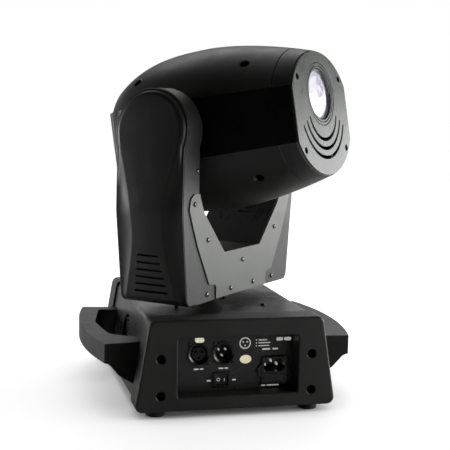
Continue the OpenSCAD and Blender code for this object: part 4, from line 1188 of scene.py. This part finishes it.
def hole_line(x, z, r, count=32):
    return arc((x, z), r, 0, 360 - 360 / count, count - 1)


def out_of_front(x, y, z):
    """A frame whose Z points towards the connector end, at a point in the base."""
    return BASE @ Matrix.Translation((x, y, z)) @ Matrix.Rotation(math.radians(90), 4, "X")


def cap_shell(name, place):
    """A hollow end cap with a rounded front rim and a well for each screw."""
    piece = prism(name, base_outline(0, 8), "y", -END_Y, CAP_D - END_Y, place, 2.6, 4)
    cut(piece, prism("room", base_outline(CAP_WALL, 5), "y", CAP_WALL - END_Y, CAP_D - END_Y + 2, place))
    for side in (1, -1):
        for x, z in CAP_SCREWS:
            boolean(piece, prism("boss", hole_line(side * x, z, 8), "y", 1.5 - END_Y, 14 - END_Y, place), "UNION")
            well = [(0, -9), (5, -9), (5, -0.8), (5.9, 0.05), (7, 3), (0, 3)]
            spot = place @ Matrix.Translation((side * x, -END_Y, z)) @ Matrix.Rotation(math.radians(90), 4, "X")
            cut(piece, lathe("well", well, spot, 40))
        cut(piece, prism("stud", hole_line(side * FOOT_X, -FOOT_Y, 4.2), "z", 0, 14, place))
    return piece


def front_cap(name):
    """The connector end: a deep recess with a rounded rim, closed behind by the connector panel."""
    piece = cap_shell(name, BASE)
    x0, x1, z0, z1 = RECESS
    rim = 2.5
    box = box_line(x0 - rim, x1 + rim, z0 - rim, z1 + rim, 5)
    boolean(piece, prism("liner", box, "y", 1.5 - END_Y, PANEL_Y, BASE), "UNION")
    flare = 1.6
    rings = []
    for i in range(6):
        a = math.radians(90 * i / 5)
        grow = flare * (1 - math.sin(a)) if i else flare + 1
        y = -END_Y + flare * (1 - math.cos(a)) if i else -END_Y - 2
        rings.append(lift(box_line(x0 - grow, x1 + grow, z0 - grow, z1 + grow, 3 + grow, 8), "y", y))
    rings.insert(1, lift(box_line(x0 - flare, x1 + flare, z0 - flare, z1 + flare, 3 + flare, 8), "y", -END_Y))
    rings[0] = lift(box_line(x0 - flare, x1 + flare, z0 - flare, z1 + flare, 3 + flare, 8), "y", -END_Y - 2)
    rings.append(lift(box_line(x0, x1, z0, z1, 3, 8), "y", PANEL_Y + 1))
    cut(piece, make("recess", *tube(rings), BASE))
    return piece


def rear_cap_of_base(name):
    """The menu end: a display window with four buttons under it."""
    piece = cap_shell(name, BASE @ MIRROR_Y)
    x0, x1, z0, z1 = DISPLAY
    cut(piece, prism("window", box_line(x0, x1, z0, z1, 2), "y", END_Y - 5, END_Y + 1, BASE))
    for x in BUTTON_XS.values():
        cut(piece, prism("hole", hole_line(x, BUTTON_Z, BUTTON_R + GAP), "y", END_Y - 5, END_Y + 1, BASE))
    return piece


def display(name):
    """A smoked window with a flange behind it."""
    x0, x1, z0, z1 = DISPLAY
    inner = box_line(x0 + GAP, x1 - GAP, z0 + GAP, z1 - GAP, 1.8)
    window = prism(name, inner, "y", END_Y - CAP_WALL, END_Y - 0.8, BASE, 0.4, 2)
    flange = box_line(x0 - 3, x1 + 3, z0 - 2, z1 + 3, 2)
    back = prism("back", flange, "y", END_Y - CAP_WALL - 2, END_Y - CAP_WALL - GAP, BASE)
    return join(window, back)


def menu_button(name, x):
    """A round button with a dished front and a collar behind the wall."""
    spot = BASE @ Matrix.Translation((x, END_Y, BUTTON_Z)) @ Matrix.Rotation(math.radians(-90), 4, "X")
    profile = [(0, -9), (6.2, -9), (6.2, -5.2), (BUTTON_R, -5.2), (BUTTON_R, 1.3), (BUTTON_R - 0.25, 1.75),
               (BUTTON_R - 0.8, 2.0), (BUTTON_R - 1.6, 1.7), (0, 1.3)]
    return lathe(name, profile, spot, 48)


def cap_screw_set(name):
    """Pan head screws at the bottom of the end caps' wells, and four in the sheet covers."""
    screws = []
    for place in (BASE, BASE @ MIRROR_Y):
        for side in (1, -1):
            for x, z in CAP_SCREWS:
                spot = place @ Matrix.Translation((side * x, 9 - END_Y, z)) @ Matrix.Rotation(math.radians(90), 4, "X")
                screws.append(pan_head_screw(spot, 3.8, 2.4))
            x, y = COVER_SCREW
            top = CAP_TOP - CAP_WALL - GAP + 0.05
            screws.append(pan_head_screw(place @ Matrix.Translation((side * x, y, top)), 2.8, 2.0))
    piece = join(*screws)
    piece.name = name
    return piece


def sheet_cover(name, mirror):
    """Half of the bent sheet over the base, with a half round cut-out for the neck."""
    place = BASE @ mirror
    depth = END_Y - CAP_WALL - 18
    piece = prism(name, base_outline(CAP_WALL + GAP, 5, 10), "y", -depth, depth, place)
    cut(piece, prism("room", base_outline(CAP_WALL + GAP + 1.2, 3.8, 10), "y", -depth - 1, depth + 1, place))
    half = [(0.12, CAP_Z + 5.4), (130, CAP_Z + 5.4), (130, 120), (0.12, 120)]
    keep_common(piece, prism("half", half, "y", -200, 200, place))
    cut(piece, prism("neck", hole_line(0, 0, 20, 64), "z", 90, 120, place))
    x, y = COVER_SCREW
    for side in (1, -1):
        cut(piece, prism("hole", hole_line(x, side * y, 1.7, 20), "z", 90, 120, place))
    spot = place @ Matrix.Translation((110, FAN_Y, FAN_Z)) @ Matrix.Rotation(math.radians(90), 4, "Y")
    cut(piece, lathe("fan_hole", [(0, -30), (21, -30), (21, 20), (0, 20)], spot, 64))
    return round_sharp(merge_flat(piece), 0.3, 2, 50)


# ---------- the handles ----------

HANDLE_X = 142.0
HANDLE_ARCH = 14.0
HANDLE_W = 18.0
HANDLE_Z = 77.0
HANDLE_FRONT = -109.0
HANDLE_BACK = 105.0
BAR_Z = HANDLE_Z - 21


def handle_plan():
    """Seen from above: an arched bar with a leg at each end."""
    half = (HANDLE_BACK - HANDLE_FRONT) / 2
    r = (half ** 2 + HANDLE_ARCH ** 2) / (2 * HANDLE_ARCH)
    reach = math.degrees(math.asin(half / r))
    outer = arc((HANDLE_X + HANDLE_ARCH - r, (HANDLE_BACK + HANDLE_FRONT) / 2), r, -reach, reach, 48)
    inner_x = HANDLE_X - HANDLE_W
    inner = rounded([(100, HANDLE_BACK - 18), (inner_x, HANDLE_BACK - 16), (inner_x + HANDLE_ARCH, 10),
                     (inner_x + 6, -58), (100, -72)], [0, 8, 60, 20, 0], 12)
    return outer + [(90, HANDLE_BACK), (90, HANDLE_BACK - 18)] + inner + [(90, -75), (90, -95)]


def handle(name, mirror):
    """A carrying handle: a bar that arches outwards, on two legs that run down the base's side."""
    place = BASE @ mirror
    tip = HANDLE_X + HANDLE_ARCH + 2
    section = rounded([(95, HANDLE_Z - 1), (tip, HANDLE_Z + 1), (tip, BAR_Z), (HANDLE_X - 4, BAR_Z), (125, 40),
                       (107, 28), (95, 28)], [0, 0, 0, 12, 8, 0, 0], 8)
    piece = prism(name, handle_plan(), "z", 20, HANDLE_Z + 0.9, place)
    keep_common(piece, prism("section", section, "y", HANDLE_FRONT, HANDLE_BACK, place))
    wall = [(0, 0), (BOTTOM_HALF + CAP_Z * LEAN - CAP_WALL + 0.4, 0), (TOP_HALF - CAP_WALL + 0.4, CAP_TOP), (0, CAP_TOP)]
    cut(piece, prism("wall", wall, "y", HANDLE_FRONT - 1, HANDLE_BACK + 1, place))
    grip = [(80, HANDLE_FRONT + 30), (200, HANDLE_FRONT + 30), (200, HANDLE_BACK - 24), (80, HANDLE_BACK - 24)]
    cut(piece, prism("grip", grip, "z", -1, BAR_Z, place))
    merge_flat(piece, 0.8)
    return round_sharp(piece, 2.6, 5, 40)


# ---------- the fan, the feet and the neck ----------


def fan_guard(name):
    """The fan's square frame with finger guard rings on two crossed bars."""
    side = 22.0
    square = [(FAN_Y - side, FAN_Z - side), (FAN_Y + side, FAN_Z - side),
              (FAN_Y + side, FAN_Z + side), (FAN_Y - side, FAN_Z + side)]
    body = rounded(square, [3] * 4, 6)
    piece = prism(name, body, "x", -96.4, -88, BASE, 0.4, 2)
    cut(piece, prism("bore", hole_line(FAN_Y, FAN_Z, 20, 64), "x", -99, -86, BASE))
    spot = BASE @ Matrix.Translation((-97.5, FAN_Y, FAN_Z)) @ Matrix.Rotation(math.radians(90), 4, "Y")
    for r in (6.2, 11.2, 16.2):
        ring = [(r + 0.8 * math.cos(math.radians(a)), 0.95 * math.sin(math.radians(a))) for a in range(0, 360, 30)]
        boolean(piece, lathe("ring", ring, spot, 72), "UNION")
    for turn in (45, 135):
        bar = [(-20.6, -1.05), (20.6, -1.05), (20.6, 1.05), (-20.6, 1.05)]
        swing = spot @ Matrix.Rotation(math.radians(turn), 4, "Z")
        boolean(piece, prism("bar", bar, "z", -0.9, 1.2, swing), "UNION")
    cut(piece, prism("hub", hole_line(FAN_Y, FAN_Z, 4.2, 24), "x", -96.4, -80, BASE))
    return piece


def foot_set(name):
    """Turned rubber feet with a dished underside and a stud through the base."""
    feet = []
    for sx in (1, -1):
        for sy in (1, -1):
            profile = [(0, 1.2), (6.5, 1.2), (8, 0), (9.6, 0), (10.4, 0.5), (11, 6.4), (10.6, 7.6), (10, 8),
                       (4, 8), (4, 14.2), (0, 14.2)]
            feet.append(lathe("foot", profile, BASE @ Matrix.Translation((sx * FOOT_X, sy * FOOT_Y, 0)), 48))
    piece = join(*feet)
    piece.name = name
    return piece


def add_base():
    black, sheet = PAINTS["black_moulding"], PAINTS["black_sheet"]
    stand_for(front_cap("front_cap"), "front_end_cap", black)
    stand_for(rear_cap_of_base("menu_cap"), "rear_end_cap", black)
    stand_for(display("display"), "display_window", PAINTS["smoked_window"])
    for place, x in BUTTON_XS.items():
        stand_for(menu_button("button_" + place + "_cap", x), "menu_button_" + place, PAINTS["black_fitting"])
    stand_for(cap_screw_set("base_screw_set"), "base_screws", PAINTS["black_screw"], 40)
    stand_for(sheet_cover("sheet_right", Matrix.Identity(4)), "top_cover_right", sheet)
    stand_for(sheet_cover("sheet_left", MIRROR_X), "top_cover_left", sheet)
    stand_for(handle("grip_right", Matrix.Identity(4)), "handle_right", black, 40)
    stand_for(handle("grip_left", MIRROR_X), "handle_left", black, 40)
    stand_for(fan_guard("fan_guard"), "base_fan_frame", black)
    stand_for(foot_set("foot_set"), "rubber_feet", PAINTS["black_rubber"])


# ---------- the connectors ----------

XLR_Z = CAP_Z + 57.7
XLR_OUT_X = -38.6
XLR_IN_X = -10.3
XLR_R = 12.0
LATCH_Z = XLR_Z + 16.5
INLET_X = 48.2
INLET_Z = CAP_Z + 36
INLET_W = 29.5
INLET_H = 32.0
SWITCH_X = -12.2
SWITCH_Z = CAP_Z + 27.6
SWITCH_W = 19.7
SWITCH_H = 17.3


def box_around(x, z, width, height, r, steps=6):
    return box_line(x - width / 2, x + width / 2, z - height / 2, z + height / 2, r, steps)


def panel_sheet(name):
    x0, x1, z0, z1 = RECESS
    piece = prism(name, box_line(x0 - 5, x1 + 5, z0 - 5, z1 + 5, 3), "y", PANEL_Y + 0.1, PANEL_Y + 1.6, BASE)
    holes = [hole_line(XLR_OUT_X, XLR_Z, XLR_R, 48), hole_line(XLR_IN_X, XLR_Z, XLR_R, 48)]
    holes.append(box_around(XLR_OUT_X, LATCH_Z, 9.2, 5.4, 0.4))
    holes.append(box_around(INLET_X, INLET_Z, INLET_W - 2, INLET_H - 2, 0.5))
    holes.append(box_around(SWITCH_X, SWITCH_Z, SWITCH_W - 2, SWITCH_H - 2, 0.5))
    for line in holes:
        cut(piece, prism("hole", line, "y", PANEL_Y - 3, PANEL_Y + 4, BASE))
    return piece


def xlr_shell(name, x, bore_r):
    """The turned metal shell of a socket, with a rolled flange on the panel."""
    profile = [(bore_r, -13), (XLR_R - GAP, -13), (XLR_R - GAP, -0.1), (13.3, -0.1), (13.3, 0.9), (12.9, 1.5),
               (12.2, 1.6), (11.2, 1.2), (10.6, 0.6), (bore_r + 0.3, 0.3), (bore_r, -0.4)]
    return lathe(name, profile, out_of_front(x, PANEL_Y, XLR_Z), 72)


def contact_spots(x):
    return [(x + 4.6 * math.cos(math.radians(a)), XLR_Z + 4.6 * math.sin(math.radians(a))) for a in (30, 150, 270)]


def flange_screws(x):
    """Two small screws at opposite corners of a socket's flange."""
    found = []
    for side in (1, -1):
        spot = out_of_front(x + side * 10.6, PANEL_Y + 0.05, XLR_Z - side * 10.8)
        found.append(pan_head_screw(spot, 1.9, 1.2))
    return found


def female_insert(name):
    """The black insert of the outward socket, with its three contact holes."""
    insert = [(0, -13.5), (8.2, -13.5), (8.2, -1.3), (7.8, -0.6), (0, -0.6)]
    core = lathe("insert", insert, out_of_front(XLR_OUT_X, PANEL_Y, XLR_Z), 48)
    for x, z in contact_spots(XLR_OUT_X):
        cut(core, prism("contact", hole_line(x, z, 1.5, 20), "y", PANEL_Y - 1, PANEL_Y + 9, BASE))
    floor = prism("floor", hole_line(XLR_OUT_X, XLR_Z, 11, 48), "y", PANEL_Y + 13, PANEL_Y + 15.8, BASE)
    piece = join(core, floor)
    piece.name = name
    return piece


def male_insert(name):
    """The black floor and lining of the inward socket."""
    lining = [(0, -15.8), (11.3, -15.8), (11.3, -13.2), (9.2, -13.2), (9.2, -1.4), (8.9, -1.2), (8.7, -1.4),
              (8.7, -11), (0, -11)]
    return lathe(name, lining, out_of_front(XLR_IN_X, PANEL_Y, XLR_Z), 48)


def xlr_socket(name, x):
    return join(xlr_shell(name, x, 9.4), *flange_screws(x))


def socket_pins(name):
    """The bright contact pins of the inward socket."""
    pins = []
    for x, z in contact_spots(XLR_IN_X):
        profile = [(0, -11.2), (1.2, -11.2), (1.2, -7.8), (0.8, -7.2), (0, -7)]
        pins.append(lathe("pin", profile, out_of_front(x, PANEL_Y, z), 20))
    piece = join(*pins)
    piece.name = name
    return piece


def latch(name):
    """The socket's push tab: an oval pad with a rounded rim on a flat stem."""
    pad = box_around(XLR_OUT_X, LATCH_Z - 0.4, 10.4, 5.6, 2.75, 8)
    piece = prism(name, pad, "y", PANEL_Y - 3.4, PANEL_Y - 1.7, BASE, 0.6, 3)
    stem = box_around(XLR_OUT_X, LATCH_Z, 7.2, 3, 0.3)
    return join(piece, prism("stem", stem, "y", PANEL_Y - 1.8, PANEL_Y + 9, BASE))


def power_socket(name):
    """The fused inlet: a raised body with two pointed ears, a keyed socket and a fuse drawer's bay."""
    body = box_around(INLET_X, INLET_Z, INLET_W, INLET_H, 2)
    piece = prism(name, body, "y", PANEL_Y - 3, PANEL_Y, BASE, 0.6, 3)
    ear, low = 21.4, INLET_H / 2 - 1
    ears = rounded([(INLET_X - ear, INLET_Z), (INLET_X - 10, INLET_Z - low), (INLET_X + 10, INLET_Z - low),
                    (INLET_X + ear, INLET_Z), (INLET_X + 10, INLET_Z + low), (INLET_X - 10, INLET_Z + low)],
                   [3, 1, 1, 3, 1, 1])
    boolean(piece, prism("ears", ears, "y", PANEL_Y - 2.2, PANEL_Y, BASE, 0.4, 2), "UNION")
    inner = box_around(INLET_X, INLET_Z, INLET_W - 2.4, INLET_H - 2.4, 1)
    boolean(piece, prism("box", inner, "y", PANEL_Y - 1, PANEL_Y + 24, BASE), "UNION")
    key = rounded([(INLET_X - 12, INLET_Z - 1), (INLET_X + 12, INLET_Z - 1), (INLET_X + 12, INLET_Z + 8),
                   (INLET_X + 7, INLET_Z + 14), (INLET_X - 7, INLET_Z + 14), (INLET_X - 12, INLET_Z + 8)], [1] * 6)
    cut(piece, prism("key", key, "y", PANEL_Y - 5, PANEL_Y + 16, BASE))
    bay = box_around(INLET_X, INLET_Z - 8.5, 24.4, 11, 0.3)
    cut(piece, prism("bay", bay, "y", PANEL_Y - 5, PANEL_Y + 22, BASE))
    for side in (1, -1):
        cut(piece, prism("hole", hole_line(INLET_X + side * 19.2, INLET_Z, 1.5, 20), "y", PANEL_Y - 4, PANEL_Y + 1, BASE))
    screws = [pan_head_screw(out_of_front(INLET_X + side * 19.2, PANEL_Y - 1.8, INLET_Z), 1.4, 0.8) for side in (1, -1)]
    return join(round_sharp(piece, 0.15, 1, 60), *screws)


def inlet_blades(name):
    """The inlet's three flat contacts."""
    blades = []
    for x, z in ((-7, 4), (0, 8), (7, 4)):
        line = box_around(INLET_X + x, INLET_Z + z, 1.5, 3.2, 0.3, 2)
        blades.append(prism("blade", line, "y", PANEL_Y + 10, PANEL_Y + 16.5, BASE, 0.3, 2))
    piece = join(*blades)
    piece.name = name
    return piece


def drawer(name):
    front = box_around(INLET_X, INLET_Z - 8.5, 24, 10.6, 0.8)
    piece = prism(name, front, "y", PANEL_Y - 3.4, PANEL_Y + 21, BASE, 0.4, 2)
    well = box_around(INLET_X, INLET_Z - 7.2, 21, 8.5, 0.5)
    cut(piece, prism("well", well, "y", PANEL_Y + 6, PANEL_Y + 12, BASE))
    notch = box_around(INLET_X, INLET_Z - 11.7, 8, 1.4, 0.5)
    cut(piece, prism("notch", notch, "y", PANEL_Y - 5, PANEL_Y - 2.4, BASE))
    return piece


def switch_bezel(name):
    rim = box_around(SWITCH_X, SWITCH_Z, SWITCH_W, SWITCH_H, 1.5)
    piece = prism(name, rim, "y", PANEL_Y - 2, PANEL_Y, BASE, 0.5, 3)
    inner = box_around(SWITCH_X, SWITCH_Z, SWITCH_W - 2.4, SWITCH_H - 2.4, 1)
    boolean(piece, prism("box", inner, "y", PANEL_Y - 1, PANEL_Y + 16, BASE), "UNION")
    window = box_around(SWITCH_X, SWITCH_Z, 15.2, 12, 0.5)
    return cut(piece, prism("window", window, "y", PANEL_Y - 4, PANEL_Y + 12, BASE))


def rocker_place():
    """The rocker's own frame, turned to its resting off position."""
    tip = 7
    return BASE @ Matrix.Translation((SWITCH_X, PANEL_Y + 3, SWITCH_Z)) @ Matrix.Rotation(math.radians(-tip), 4, "Z")


def rocker(name):
    """A rocker with two dished halves."""
    left = [(-6.6, -5.0), (-5.0, -4.25), (-3.0, -3.8), (0, -3.6)]
    line = left + [(-x, y) for x, y in left[-2::-1]] + [(6.2, 0), (2, 3.5), (-2, 3.5), (-6.2, 0)]
    return prism(name, line, "z", -5.7, 5.7, rocker_place(), 0.5, 3)


# ---------- printed marks ----------


def mark(line, place, thick=0.12):
    return prism("mark", line, "y", -thick, 0, place)


def bar_mark(x, z, width, height, place):
    return mark(box_around(x, z, width, height, min(width, height) * 0.3, 3), place)


def ring_mark(x, z, r, width, place):
    flat = lathe("mark", [(r - width, 0), (r, 0), (r, 0.12), (r - width, 0.12)],
                 place @ Matrix.Translation((x, 0, z)) @ Matrix.Rotation(math.radians(90), 4, "X"), 48)
    return flat


def panel_marks(name):
    """Plain bars, dots and a ring in white ink where the panel is labelled."""
    on = BASE @ Matrix.Translation((0, PANEL_Y + 0.1, 0))
    marks = [ring_mark(14.3, 76.0, 6.6, 1.25, on)]
    for a in (30, 150, 270):
        spot = (14.3 + 2.7 * math.cos(math.radians(a)), 76.0 + 2.7 * math.sin(math.radians(a)))
        marks.append(mark(hole_line(spot[0], spot[1], 0.95, 20), on))
    for row, length in enumerate((10.0, 14.0, 12.5)):
        z = 79.0 - 3.3 * row
        marks.append(bar_mark(27.4, z, 1.3, 1.3, on))
        marks.append(bar_mark(29.8 + length / 2, z, length, 1.1, on))
    marks.append(bar_mark(54.6, 79.4, 7.6, 3.9, on))
    marks.append(bar_mark(63.9, 79.4, 8.2, 3.9, on))
    marks.append(bar_mark(39.0, 68.4, 9.5, 1.9, on))
    marks.append(bar_mark(49.6, 68.4, 6.5, 1.9, on))
    for x in (XLR_OUT_X, XLR_IN_X):
        marks.append(bar_mark(x - 2.8, 48.3, 5.6, 1.5, on))
        marks.append(bar_mark(x + 3.4, 48.3, 4.0, 1.5, on))
    marks.append(bar_mark(36.5, 26.6, 5.0, 1.3, on))
    marks.append(bar_mark(47.6, 26.6, 14.0, 1.3, on))
    marks.append(bar_mark(-26.8, 34.6, 4.6, 1.6, on))
    marks.append(bar_mark(2.2, 34.6, 4.2, 1.6, on))
    piece = join(*marks)
    piece.name = name
    return piece


def rocker_marks(name):
    """A ring and a bar on the rocker's two halves."""
    place = rocker_place()
    tilt = math.radians(11)
    left = place @ Matrix.Translation((-3.4, -3.95, 0)) @ Matrix.Rotation(tilt, 4, "Z")
    right = place @ Matrix.Translation((3.4, -3.95, 0)) @ Matrix.Rotation(-tilt, 4, "Z")
    piece = join(ring_mark(0, 0, 1.9, 0.55, left), bar_mark(0, 0, 0.6, 3.4, right))
    piece.name = name
    return piece


def sticker(name):
    """A small blank oval label."""
    oval_line = [(15.2 + 6.6 * math.cos(math.radians(a)), 57.6 + 4.9 * math.sin(math.radians(a))) for a in range(0, 360, 6)]
    return prism(name, oval_line, "y", -0.22, 0, BASE @ Matrix.Translation((0, PANEL_Y + 0.1, 0)), 0.08, 1)


def add_connectors():
    dark, bright = PAINTS["black_fitting"], PAINTS["pin_metal"]
    stand_for(panel_sheet("panel_sheet"), "connector_panel", PAINTS["black_sheet"])
    stand_for(xlr_socket("socket_out", XLR_OUT_X), "dmx_out_socket", PAINTS["socket_metal"])
    stand_for(xlr_socket("socket_in", XLR_IN_X), "dmx_in_socket", PAINTS["socket_metal"])
    ride_on(female_insert("insert_out"), "dmx_out_socket", PAINTS["insert"])
    ride_on(male_insert("insert_in"), "dmx_in_socket", PAINTS["insert"])
    stand_for(latch("latch_tab"), "dmx_out_latch", PAINTS["cream_plastic"])
    stand_for(power_socket("inlet"), "power_inlet", dark)
    stand_for(drawer("drawer"), "fuse_drawer", dark)
    stand_for(switch_bezel("switch_bezel"), "switch_housing", dark)
    stand_for(rocker("rocker"), "switch_rocker", dark)
    ride_on(socket_pins("pins"), "dmx_in_socket", bright)
    ride_on(inlet_blades("blades"), "power_inlet", bright)
    ride_on(panel_marks("panel_print"), "connector_panel", PAINTS["print"])
    ride_on(rocker_marks("rocker_print"), "switch_rocker", PAINTS["print"])
    ride_on(sticker("label"), "connector_panel", PAINTS["label"])


# ---------- everything together ----------


def paint_frame():
    for node, thing in frame["nodes"].items():
        thing.data.materials.clear()
        thing.data.materials.append(PAINTS[slot_of(node)])


paint_frame()
add_head()
add_yoke()
add_base()
add_connectors()
add_stage()
